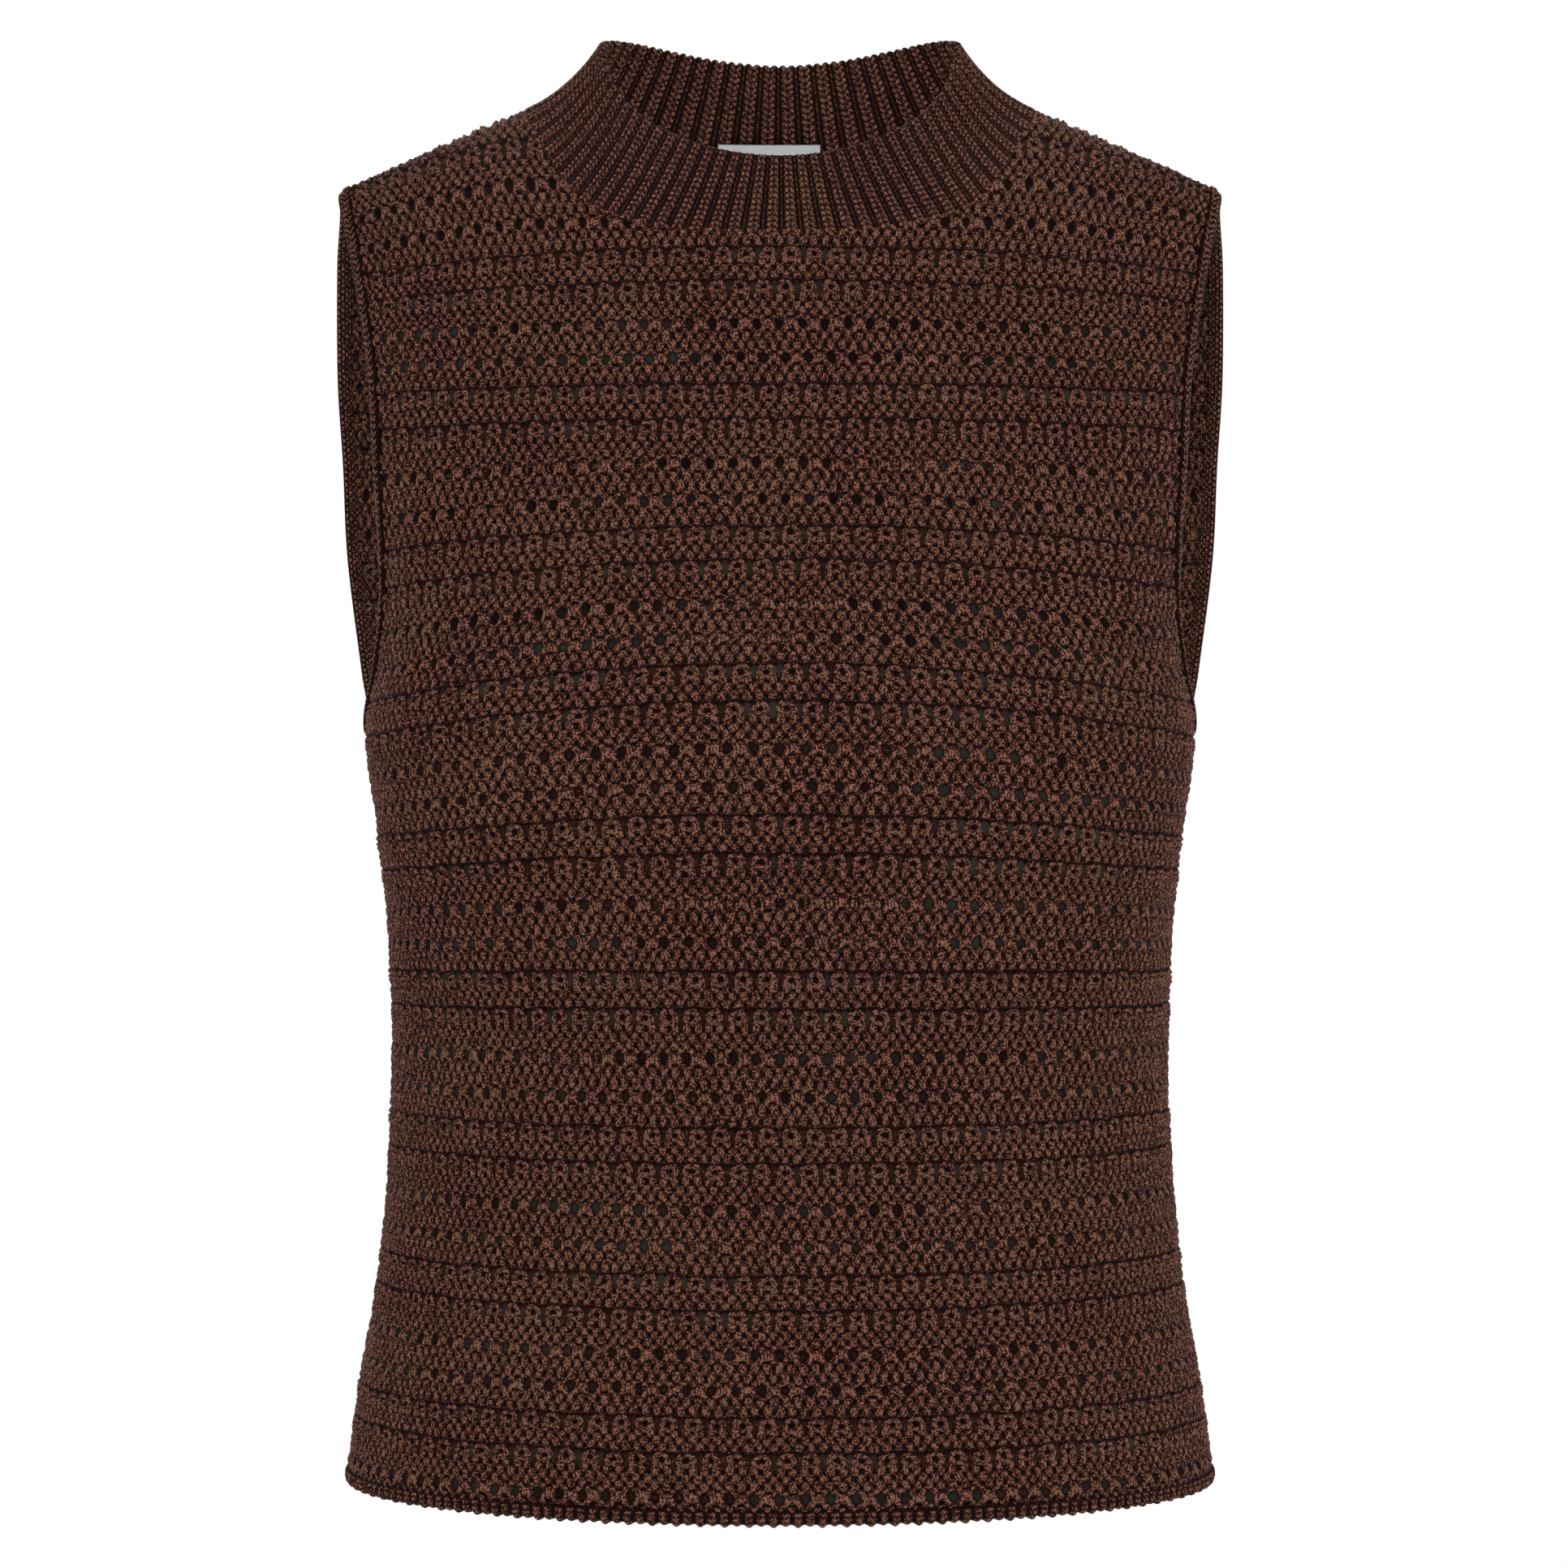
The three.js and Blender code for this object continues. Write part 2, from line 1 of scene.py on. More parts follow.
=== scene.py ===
# %% [markdown]
# # A sleeveless knit top with a mock neck
#
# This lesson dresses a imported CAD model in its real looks. The top is knitted from a
# chunky twisted cord in rows of arches, purl ridges and eyelets, and it stands filled out
# and hollow, as it does when it is worn. The CAD model holds its true shape as plain
# walls. Here each wall is replaced by knitting on the same form: the panels by one sheet of
# stitches each, the narrow bands by rounded strips.
#
# The tables and sizes are in millimetres, as on a knitter's sheet, and MM turns them into
# metres when a mesh is made. +Z is up, the front faces -Y and the origin is midway
# between the points where the shoulder seams meet the collar.

# %% Load the fixed frame
import math

import bmesh
import bpy
import numpy as np
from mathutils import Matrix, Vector


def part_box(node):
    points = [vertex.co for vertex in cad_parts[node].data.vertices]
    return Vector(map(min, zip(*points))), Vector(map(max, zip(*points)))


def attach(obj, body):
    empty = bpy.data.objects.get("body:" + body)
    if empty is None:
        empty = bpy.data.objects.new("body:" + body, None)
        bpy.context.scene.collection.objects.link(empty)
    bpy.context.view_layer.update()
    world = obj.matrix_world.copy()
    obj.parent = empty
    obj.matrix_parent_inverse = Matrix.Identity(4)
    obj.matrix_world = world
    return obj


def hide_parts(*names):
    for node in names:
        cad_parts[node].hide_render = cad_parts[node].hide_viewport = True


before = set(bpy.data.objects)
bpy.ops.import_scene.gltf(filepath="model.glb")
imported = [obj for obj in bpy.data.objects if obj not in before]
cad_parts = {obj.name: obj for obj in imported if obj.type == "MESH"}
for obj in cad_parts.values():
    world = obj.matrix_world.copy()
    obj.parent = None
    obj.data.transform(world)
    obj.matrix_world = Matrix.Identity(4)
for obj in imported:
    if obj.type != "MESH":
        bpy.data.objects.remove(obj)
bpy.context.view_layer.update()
MM = 0.001
TURN = 2 * math.pi

# %% [markdown]
# ## The form of the body
#
# A worn top is widest at the shoulders and the hem and comes in at the waist. A maker
# would draw level sections of it, one every few centimetres, and join them smoothly. Each
# section is half a superellipse in front and half behind, which meet at the side seams.
# A superellipse was chosen because one number, its power, says how flat the middle is.

# %% Level sections of the body
SECTION_COLUMNS = (
    "z", "half_front", "half_back", "front", "back", "side",
    "round_front", "round_back", "open_front", "open_back",
)
SECTIONS = [
    (46, 187, 181, -44, 46, 5, 2.1, 2.5, 0.33, 0.40),
    (-31, 183.6, 182.1, -66, 69, 5, 2.1, 2.6, 0.36, 0.45),
    (-60, 181.6, 186.6, -75, 78, 5, 2.1, 2.8, 0.42, 0.50),
    (-105, 176.2, 189.3, -87, 88, 5, 2.1, 3, 0.45, 0.545),
    (-140, 173.6, 187.9, -97, 94, 6, 2.15, 3, 0.46, 0.55),
    (-175, 167.6, 185.2, -107, 97, 7, 2.3, 3, 0.45, 0.53),
    (-200, 163, 181.5, -114, 98, 8, 2.55, 2.9, 0.44, 0.51),
    (-225, 162.5, 174.5, -120, 98, 9, 2.75, 2.8, 0.44, 0.50),
    (-250, 165, 165, -123, 96, 10, 2.8, 2.65, 0.44, 0.50),
    (-284, 161.8, 161.8, -123, 91, 10, 2.7, 2.5, 0.44, 0.50),
    (-315, 157.8, 157.8, -120, 85, 10, 2.4, 2.4, 0.44, 0.50),
    (-370, 156, 156, -115, 78, 10, 2.05, 2.2, 0.44, 0.50),
    (-420, 157.2, 157.2, -116, 81, 10, 2, 2.2, 0.44, 0.50),
    (-465, 161.2, 161.2, -119, 88, 9, 2, 2.2, 0.44, 0.50),
    (-505, 168, 168, -121, 93, 8, 2, 2.2, 0.44, 0.50),
    (-549.5, 174.3, 174.3, -122, 96, 8, 2, 2.2, 0.44, 0.50),
]
NECK_COLUMNS = ("turn", "seam_x", "seam_z", "top_x", "top_y", "top_z", "hollow")
NECK = [
    (0, 0, -58, 0, -62, -27, 0.5),
    (20, 33, -57, 22, -58.5, -24.3, 0.6),
    (40, 60, -52, 42, -49.5, -16.9, 1),
    (58, 77, -44, 56.5, -37, -7, 1.6),
    (70, 88, -29, 65.5, -23, 4.5, 2.2),
    (80, 96, -14.5, 70.5, -9.5, 16, 2.7),
    (90, 103, 0, 72.5, 4, 25.5, 3),
    (103, 100, -4, 71, 18, 29.5, 2.6),
    (120, 88, -8.5, 63, 31, 30.5, 2),
    (140, 62, -11.2, 45.5, 42, 28, 1.2),
    (160, 31, -11.4, 23.5, 49.5, 24.7, 0.8),
    (180, 0, -11, 0, 52, 23.2, 0.6),
]
NECK_HALF_WIDTH = 103
SHOULDER_SLOPE = 0.44
SHOULDER_ROLL = 90
NAPE_SOFTENING = 28
UNDERARM = -250
SCOOP_TOP = -185
SCOOP_POWER = 2.2


def smooth_table(rows, columns, sliding=()):
    """Reads a table smoothly at values of its first column. With sliding, the curve goes
    on as its own reflection past both ends, except in the columns that sliding names."""
    data = np.array(sorted(rows), float)
    key = data[:, 0]
    slopes = np.gradient(data, axis=0)
    steps = np.gradient(key)
    slopes[1:-1] = (data[2:] - data[:-2]) / (key[2:] - key[:-2])[:, None]
    slopes[0] /= steps[0]
    slopes[-1] /= steps[-1]
    for place, name in enumerate(columns):
        if sliding and name not in sliding:
            slopes[[0, -1], place] = 0

    def read(values):
        values = np.asarray(values, float)
        i = np.clip(np.searchsorted(key, values) - 1, 0, len(key) - 2)
        span = key[i + 1] - key[i]
        t = np.clip((values - key[i]) / span, 0, 1)
        rise, lean, trail = t * t * (3 - 2 * t), t * (1 - t) ** 2 * span, t * t * (t - 1) * span
        return {
            name: data[i, p] + (data[i + 1, p] - data[i, p]) * rise
            + slopes[i, p] * lean + slopes[i + 1, p] * trail
            for p, name in enumerate(columns)
        }

    return read


def ease(share):
    """A smooth way from 0 to 1."""
    share = np.clip(share, 0, 1)
    return share * share * (3 - 2 * share)


section_at = smooth_table(SECTIONS, SECTION_COLUMNS)
neck_at = smooth_table(NECK, NECK_COLUMNS, sliding=("seam_x", "top_x"))
print("waist section:", {k: round(float(v), 1) for k, v in section_at(-370).items()})

# %% Depth, edge and outward direction anywhere on the body
FRONT, BACK = "front", "back"


def ridge_height(x):
    """Height of the shoulder line at a distance x from the middle."""
    seam = math.hypot(NECK_HALF_WIDTH, NAPE_SOFTENING)
    return SHOULDER_SLOPE * (seam - np.hypot(x, NAPE_SOFTENING))


def half_curve(face, z):
    s = section_at(z)
    return s[f"half_{face}"], s[face], s["side"], s[f"round_{face}"], s[f"open_{face}"]


def shoulder_roll(x, z):
    fall = np.clip((ridge_height(x) - z) / SHOULDER_ROLL, 0, 1)
    return np.sqrt(1 - (1 - fall) ** 2)


def cloth_depth(face, x, z):
    half, depth, side, power, _ = half_curve(face, z)
    share = np.minimum(np.abs(x) / half, 1)
    bow = (1 - share**power) ** (1 / power)
    return side + (depth - side) * bow * shoulder_roll(x, z)


def panel_edge(face, z):
    """Half width of a panel: to the armhole, or to the side seam below it."""
    half, _, _, power, opening = half_curve(face, z)
    scoop = np.clip((SCOOP_TOP - z) / (SCOOP_TOP - UNDERARM), 0, 1)
    cut = opening * (1 - scoop**SCOOP_POWER) ** (1 / SCOOP_POWER)
    return half * (1 - cut**power) ** (1 / power)


def outward(face, x, z):
    """The direction straight out of the cloth, from how the closed form's own equation
    changes around a point."""
    tiny = 0.02

    def form(px, py, pz):
        half, depth, side, power, _ = half_curve(face, pz)
        roll = np.maximum(shoulder_roll(px, pz), 1e-3)
        reach = np.maximum((py - side) / (depth - side), 0) / roll
        return np.minimum(np.abs(px) / half, 1) ** power + reach**power

    z = np.minimum(z, ridge_height(x) - 0.3)
    y = cloth_depth(face, x, z)
    away = -1 if face == FRONT else 1
    inner_x = np.sign(x) * np.maximum(np.abs(x) - tiny, 0)
    gone = np.abs(x) - np.abs(inner_x) + 1e-12
    slope_x = np.sign(x) * (form(x, y, z) - form(inner_x, y, z)) / gone
    slope_y = away * (form(x, y + away * tiny, z) - form(x, y, z)) / tiny
    slope_z = (form(x, y, z) - form(x, y, z - tiny)) / tiny
    found = np.stack([slope_x, slope_y, slope_z], axis=-1)
    return found / np.linalg.norm(found, axis=-1, keepdims=True)


print("depth at the bust:", round(float(cloth_depth(FRONT, 0, -250)), 1), "mm")

# %% [markdown]
# ## Camera, light and floor
#
# A garment shown without a wearer is lit by big soft boxes on a white ground. The world is
# plain white, which lights every side evenly, and five wide area lights give the stitches
# a bright side and a dark side. Two weak lights stand inside the body, because some light
# comes through real knitting. The camera stands level with the middle of the top, and
# the floor is where the wearer's feet would be, well below the view.

# %% Studio
CAMERA_PLACE = (1.6, -1950, -270)
VIEW_WIDTH_AT_ORIGIN = 628
FLOOR_Z = -1400
LIGHT_COLUMNS = ("name", "place", "size", "watts")
LIGHTS = [
    ("key_softbox", (60, -2150, 350), 1100, 13),
    ("right_softbox", (1900, -400, 0), 1000, 4.5),
    ("left_softbox", (-1900, -400, 0), 1000, 1),
    ("top_softbox", (0, 500, 1500), 1300, 2),
    ("back_softbox", (-300, 2100, 400), 1200, 12),
]
GLOW_COLUMNS = ("name", "place", "watts")
GLOWS = [("glow_low", (0, -15, -410), 0.7), ("glow_high", (0, -20, -230), 0.9)]
GLOW_RADIUS, GLOW_TINT = 55, (0.95, 1.0, 0.96)


def aim(thing, place, target):
    thing.location = Vector(place) * MM
    way = (Vector(target) - Vector(place)).normalized()
    thing.rotation_euler = way.to_track_quat("-Z", "Y").to_euler()
    bpy.context.scene.collection.objects.link(thing)


scene = bpy.context.scene
scene.view_settings.view_transform = "Standard"
camera = bpy.data.objects.new("camera", bpy.data.cameras.new("camera"))
camera.data.sensor_width = 36
camera.data.lens = 36 * -CAMERA_PLACE[1] / VIEW_WIDTH_AT_ORIGIN
aim(camera, CAMERA_PLACE, (CAMERA_PLACE[0], 0, CAMERA_PLACE[2]))
scene.camera = camera
for row in LIGHTS:
    light = dict(zip(LIGHT_COLUMNS, row))
    lamp = bpy.data.lights.new(light["name"], "AREA")
    lamp.size, lamp.energy = light["size"] * MM, light["watts"]
    aim(bpy.data.objects.new(light["name"], lamp), light["place"], (0, 0, -270))
for row in GLOWS:
    light = dict(zip(GLOW_COLUMNS, row))
    lamp = bpy.data.lights.new(light["name"], "POINT")
    lamp.energy, lamp.shadow_soft_size, lamp.color = light["watts"], GLOW_RADIUS * MM, GLOW_TINT
    bulb = bpy.data.objects.new(light["name"], lamp)
    bulb.visible_camera = False
    aim(bulb, light["place"], (0, 0, -270))
scene.world = bpy.data.worlds.new("white_studio")
scene.world.use_nodes = True
scene.world.node_tree.nodes["Background"].inputs["Color"].default_value = (1, 1, 1, 1)
scene.world.node_tree.nodes["Background"].inputs["Strength"].default_value = 1
print("camera lens:", round(camera.data.lens, 1), "mm")

# %% [markdown]
# ## One pattern for the mesh and for the colour
#
# The same formulas have to shape the stitches and to colour them, so that the painted shade
# in the gaps falls between the cords. They could be written twice, once in numpy and once as
# shader nodes, but two copies drift apart. So the formulas are written once, with calc, which
# works on numbers and on the sockets of a shader alike. Wire wraps a socket and lends it
# plus, minus, times and divide.

# %% Wires and sums
SUMS = {
    "ADD": np.add,
    "SUBTRACT": np.subtract,
    "MULTIPLY": np.multiply,
    "DIVIDE": np.divide,
    "MAXIMUM": np.maximum,
    "MINIMUM": np.minimum,
    "LESS_THAN": lambda a, b: np.less(a, b) * 1.0,
    "FLOORED_MODULO": np.mod,
    "PINGPONG": lambda a, b: b - np.abs(np.mod(a, 2 * b) - b),
    "ARCTAN2": np.arctan2,
    "FLOOR": np.floor,
    "ABSOLUTE": np.abs,
    "SQRT": np.sqrt,
    "COSINE": np.cos,
    "SINE": np.sin,
    "SIGN": np.sign,
}


def calc(operation, *values):
    """One sum, on numbers or arrays at once, or as a Math node when a value is a wire."""
    wire = next((v for v in values if isinstance(v, Wire)), None)
    if wire is None:
        return SUMS[operation](*values)
    return wire.finish.add("ShaderNodeMath", {"operation": operation}, dict(enumerate(values)))


class Wire:
    """A shader socket that takes part in sums."""

    def __init__(self, finish, socket):
        self.finish, self.socket = finish, socket

    def __add__(self, other):
        return calc("ADD", self, other)

    def __sub__(self, other):
        return calc("SUBTRACT", self, other)

    def __rsub__(self, other):
        return calc("SUBTRACT", other, self)

    def __mul__(self, other):
        return calc("MULTIPLY", self, other)

    def __truediv__(self, other):
        return calc("DIVIDE", self, other)

    __radd__ = __add__
    __rmul__ = __mul__


class Finish:
    """A material under construction: add makes one node and gives back its wire."""

    def __init__(self, name):
        self.material = bpy.data.materials.new(name)
        self.material.use_nodes = True
        self.tree = self.material.node_tree
        self.surface = self.tree.nodes["Principled BSDF"]

    def add(self, kind, settings=None, sockets=None, out=0):
        node = self.tree.nodes.new(kind)
        for name, value in (settings or {}).items():
            setattr(node, name, value)
        self.join(node, sockets or {})
        return Wire(self, node.outputs[out])

    def join(self, node, sockets):
        for name, value in sockets.items():
            if isinstance(value, Wire):
                self.tree.links.new(value.socket, node.inputs[name])
            else:
                node.inputs[name].default_value = value

    def mix(self, factor, one, other):
        """A colour between one and other."""
        settings = {"data_type": "RGBA", "clamp_factor": True}
        return self.add("ShaderNodeMix", settings, {0: factor, 6: one, 7: other}, out=2)

    def noise(self, scale, detail=2, vector=None):
        where = vector or self.add("ShaderNodeTexCoord", out="Object")
        sockets = {"Vector": where, "Scale": scale, "Detail": detail}
        return self.add("ShaderNodeTexNoise", None, sockets)


def pick(mask, one, other):
    """one where mask is 1, other where it is 0."""
    return mask * one + (1 - mask) * other


def clamped(value):
    return calc("MINIMUM", calc("MAXIMUM", value, 0), 1)


def round_top(way):
    """The height of a round cord at a share of the way from its middle to its side."""
    return calc("SQRT", calc("MAXIMUM", 1 - way * way, 0))


def colour(red, green, blue):
    """A paint swatch's 0 to 255 values as the linear colour that shaders use."""
    shares = [c / 255 for c in (red, green, blue)]
    linear = [c / 12.92 if c < 0.04045 else ((c + 0.055) / 1.055) ** 2.4 for c in shares]
    return (*linear, 1)


print("a round cord half way out is", round(float(round_top(0.5)), 2), "high")

# %% [markdown]
# ## The stitch pattern
#
# The pattern repeats every twelve courses: a row of arches, two purl ridges, arches again,
# two purls, eyelets, two purls, eyelets, two purls. Everywhere the cord comes up in small
# round bumps, one to a stitch, set like bricks, with a dark pit between each two. Arches
# and eyelets are two stitches wide, and each such row is shifted from the last. An arch is
# a ring of cord over two bumps. An eyelet is a hole with a wider ring of cord round it. The
# courses above the arches end in a deep groove.

# %% The yarn's height anywhere in the pattern
REPEAT_COURSES = 12
STITCH_WIDTH = 4.65
ARCH_TALL, SECOND_ARCH_TALLER = 7.5, 1.2
ARCH_RADIUS, ARCH_CORD, RING_NARROW = 2.05, 1.2, 0.84
KNOTS, KNOT_DEEP = 5, 0.42
FOOT_AT, FOOT_HALF_TALL = 0.82, 0.30
BEHIND_AT, BEHIND_HALF = 0.4, 0.5
EYELET_TALL, EYELET_RADIUS, EYELET_CORD, EYELET_HIGH = 3.6, 2.5, 0.95, 1.15
EYELET_FILL_HALF_TALL = 0.42
CLOSED_HALF_WIDE, CLOSED_HALF_TALL = 0.36, 0.4
CLOSED_HIGH, CLOSED_HIGH_BELOW, CHEST_COURSES = 0.08, 0.36, 36
CLOSED_UNEVEN, CLOSED_ALONG, CLOSED_DOWN = 0.15, 0.21, 1.3
BUMP_HALF_WIDE, BUMP_HALF_TALL = 0.41, 0.82
YARN_LOW = -1.6
ARCH_HIGH, BUMP_HIGH = 2.6, 2.0
SLIT_HIGH = 0.42
EYE_HALF_WIDE, EYE_HALF_TALL = 0.4, 0.46
SLIT_AT, SLIT_HALF_WIDE, SLIT_HALF_TALL = 0.42, 0.36, 0.36
GROOVE_DEEP, GROOVE_WIDE = 0.32, 0.2
PURL_TALL = 3.4
PLY_SIDEWAYS, PLY_DOWNWARD = 0.8, 0.6


def round_bump(side, down):
    """Height of a round bump at shares of its half width and half height from its middle."""
    return calc("SQRT", calc("MAXIMUM", 1 - side * side - down * down, 0))


def knotted(angle):
    """How a ring of cord swells and sinks round its middle, where it ties its stitches."""
    return 1 - KNOT_DEEP * (0.5 - 0.5 * calc("COSINE", angle * KNOTS))


def yarn(u, v):
    """The yarn u stitches across and v courses down: its relief in mm from the cloth's
    outer face, how far that is from gap (0) to top (1), the ways along and across the
    cord in mm, and 1 where the cloth is stretched open at the slits and eyelets, where a
    grey-green is painted for the shaded inside seen through them."""
    down = calc("FLOORED_MODULO", v, REPEAT_COURSES)
    band = calc("FLOOR", down / 3)
    part = down - band * 3
    shift = calc("PINGPONG", band * 0.5, 1)
    aside = calc("FLOORED_MODULO", u + shift, 2) - 1
    whole_side = calc("PINGPONG", u, 0.5) / BUMP_HALF_WIDE
    half_side = 0.5 / BUMP_HALF_WIDE - whole_side
    even_down = calc("PINGPONG", v - 0.5, 1)
    purl = calc(
        "MAXIMUM",
        round_bump(half_side, even_down / BUMP_HALF_TALL),
        round_bump(whole_side, (1 - even_down) / BUMP_HALF_TALL),
    )

    from_side = 1 - calc("ABSOLUTE", aside)
    foot_side = (calc("ABSOLUTE", aside) - 0.5) / BUMP_HALF_WIDE
    feet = round_bump(foot_side, (part - FOOT_AT) / FOOT_HALF_TALL)
    across_ring = aside * (STITCH_WIDTH * RING_NARROW)
    down_ring = part * (ARCH_TALL + SECOND_ARCH_TALLER * band) - ARCH_RADIUS - ARCH_CORD
    ring = calc("SQRT", across_ring * across_ring + down_ring * down_ring) - ARCH_RADIUS
    angle = calc("ARCTAN2", across_ring, down_ring)
    head = round_top(ring / ARCH_CORD) * knotted(angle)
    behind = round_bump(from_side / BEHIND_HALF, (part - BEHIND_AT) / BEHIND_HALF) * SLIT_HIGH
    arch = calc("MAXIMUM", calc("MAXIMUM", head * (ARCH_HIGH / BUMP_HIGH), feet), behind)

    down_eye = (part - 0.5) * EYELET_TALL
    eye_ring = calc("SQRT", across_ring * across_ring + down_eye * down_eye) - EYELET_RADIUS
    eye_angle = calc("ARCTAN2", across_ring, down_eye)
    round_eye = round_top(eye_ring / EYELET_CORD) * knotted(eye_angle) * EYELET_HIGH
    filling = round_bump(from_side / BUMP_HALF_WIDE, (part - 0.5) / EYELET_FILL_HALF_TALL)
    closed = round_bump(aside / CLOSED_HALF_WIDE, (part - 0.5) / CLOSED_HALF_TALL)
    closed_high = pick(calc("LESS_THAN", v, CHEST_COURSES), CLOSED_HIGH, CLOSED_HIGH_BELOW)
    uneven = CLOSED_UNEVEN * calc("COSINE", u * CLOSED_ALONG + v * CLOSED_DOWN)
    closed = closed * (closed_high + uneven)
    eyelet = calc("MAXIMUM", calc("MAXIMUM", round_eye, filling), closed)

    showy = calc("LESS_THAN", part, 1)
    arched = showy * calc("LESS_THAN", band, 2)
    high = pick(showy, pick(arched, arch, eyelet), purl) * BUMP_HIGH
    near_top = calc("MINIMUM", part, 3 - part)
    groove = round_top(calc("MINIMUM", near_top / GROOVE_WIDE, 1)) * GROOVE_DEEP
    by_arches = calc("LESS_THAN", calc("FLOORED_MODULO", down + 1, REPEAT_COURSES), 5)
    high = high - groove * by_arches

    # the slits between arches and the eyelets, where a grey-green is painted for the shaded inside
    # seen through them
    slit = arched * round_bump(from_side / SLIT_HALF_WIDE, (part - SLIT_AT) / SLIT_HALF_TALL)
    eye = (showy - arched) * round_bump(aside / EYE_HALF_WIDE, (part - 0.5) / EYE_HALF_TALL)
    through_shade_mask = calc("MAXIMUM", slit, eye) * calc("LESS_THAN", 0, v)
    lean = 1 - 2 * calc("LESS_THAN", calc("FLOORED_MODULO", v, 2), 1)
    sideways, downward = u * STITCH_WIDTH, lean * v * PURL_TALL
    around, out = pick(arched, angle, eye_angle), pick(arched, ring, eye_ring)
    looped = showy * calc("LESS_THAN", out, ARCH_CORD)
    plain_along = sideways * PLY_SIDEWAYS - downward * PLY_DOWNWARD
    plain_across = sideways * PLY_DOWNWARD + downward * PLY_SIDEWAYS
    along = pick(looped, around * ARCH_RADIUS, plain_along)
    across = pick(looped, out, plain_across)
    return YARN_LOW + high, high / BUMP_HIGH, along, across, through_shade_mask


relief_sample = yarn(np.linspace(0, 2, 9), np.full(9, 0.5))[0]
print("relief across one arch in mm:", relief_sample.round(2))

# %% [markdown]
# ## Counting courses and wales on the body
#
# A knitter follows rows, called courses, and columns, called wales. On this top the
# courses run level round the body, sag a little over the bust, and rise to the shoulder.
# So each place on a panel gets two counts: v, courses down from the first full row of
# arches, and u, stitches sideways from the middle. Tables say how high each repeat of
# twelve courses lies. Above the first row of arches the count runs up the cloth itself,
# because there the panels lean back over the shoulders.

# %% Where each course and wale lies
COURSE_SHARES = [
    ("arch", 0.135), ("purl", 0.055), ("purl", 0.055),
    ("arch", 0.155), ("purl", 0.055), ("purl", 0.055),
    ("eyelet", 0.11), ("purl", 0.07), ("purl", 0.075),
    ("eyelet", 0.10), ("purl", 0.065), ("purl", 0.07),
]
REPEAT_TOPS = [-62.5, -116.6, -171.6, -224.2, -281.3, -340.3, -399.4, -454.9, -508, -562.5]
SAG_COLUMNS = ("z", "sag")
BUST_SAG = [(-400, 0), (-340, 3), (-285, 9), (-225, 13), (-171, 7), (-118, 0), (-62, 0)]
YOKE_SAG, YOKE_SAG_AT = 4, 140
BACK_FIRST_DROP = 3.5
SIDE_STITCHES = {FRONT: 50, BACK: 44}
SHOULDER_STITCH, CHEST_STITCH = 4.35, 4.6
SHOULDER_COURSES = ((103, 12.5), (170, 9.5))
NECK_COURSE_TALL = 4.6
UNDER_COLLAR = 2
LEVEL_STEP = 4
BODY_END = 103.5
course_tops = np.concatenate([[0], np.cumsum([share for _, share in COURSE_SHARES])])
sag_at = smooth_table(BUST_SAG, SAG_COLUMNS)


def repeats_down(v):
    whole = np.floor(np.asarray(v, float) / REPEAT_COURSES)
    return whole + np.interp(v - REPEAT_COURSES * whole, np.arange(13), course_tops)


def courses_down(repeats):
    whole = np.floor(repeats)
    return REPEAT_COURSES * whole + np.interp(repeats - whole, course_tops, np.arange(13))


def middle_z(v):
    """Height of a course at the middle of a panel."""
    return float(np.interp(repeats_down(v), np.arange(len(REPEAT_TOPS)), REPEAT_TOPS))


def course_z(face, v, x):
    """Height of a course at a distance x from the middle."""
    middle = middle_z(v)
    sag = sag_at(middle)["sag"]
    if face == BACK:
        return middle - sag - BACK_FIRST_DROP * max(1 - v / REPEAT_COURSES, 0) + 0 * x
    yoke = YOKE_SAG * max(1 - v / REPEAT_COURSES, 0)
    return middle - sag * (x / panel_edge(face, middle)) ** 2 - yoke * (x / YOKE_SAG_AT) ** 2


def level_row(face, z):
    """Distances from the middle along a level row, as x and as length on the cloth."""
    x = panel_edge(face, z) * (1 - np.linspace(1, 0, 200) ** 3)
    y = cloth_depth(face, x, np.full_like(x, z))
    return x, np.concatenate([[0], np.cumsum(np.hypot(np.diff(x), np.diff(y)))])


def stitch_width(face, z):
    side = level_row(face, min(z, UNDERARM))[1][-1] / SIDE_STITCHES[face]
    return float(np.interp(z, (UNDERARM, -200, -106), (side, CHEST_STITCH, SHOULDER_STITCH)))


print("stitch at the waist:", round(stitch_width(FRONT, -370), 2), "mm")

# %% Places of stitches on a panel
def neck_line(face, x):
    """Height of the top edge of a panel, a little way under the collar."""
    turns = np.linspace(0, 90, 181) if face == FRONT else np.linspace(180, 90, 181)
    seam = neck_at(turns)
    hidden = np.interp(np.abs(x), seam["seam_x"], seam["seam_z"] + UNDER_COLLAR)
    ridge = ridge_height(x)
    return np.where(np.abs(x) < NECK_HALF_WIDTH, np.minimum(hidden, ridge), ridge)


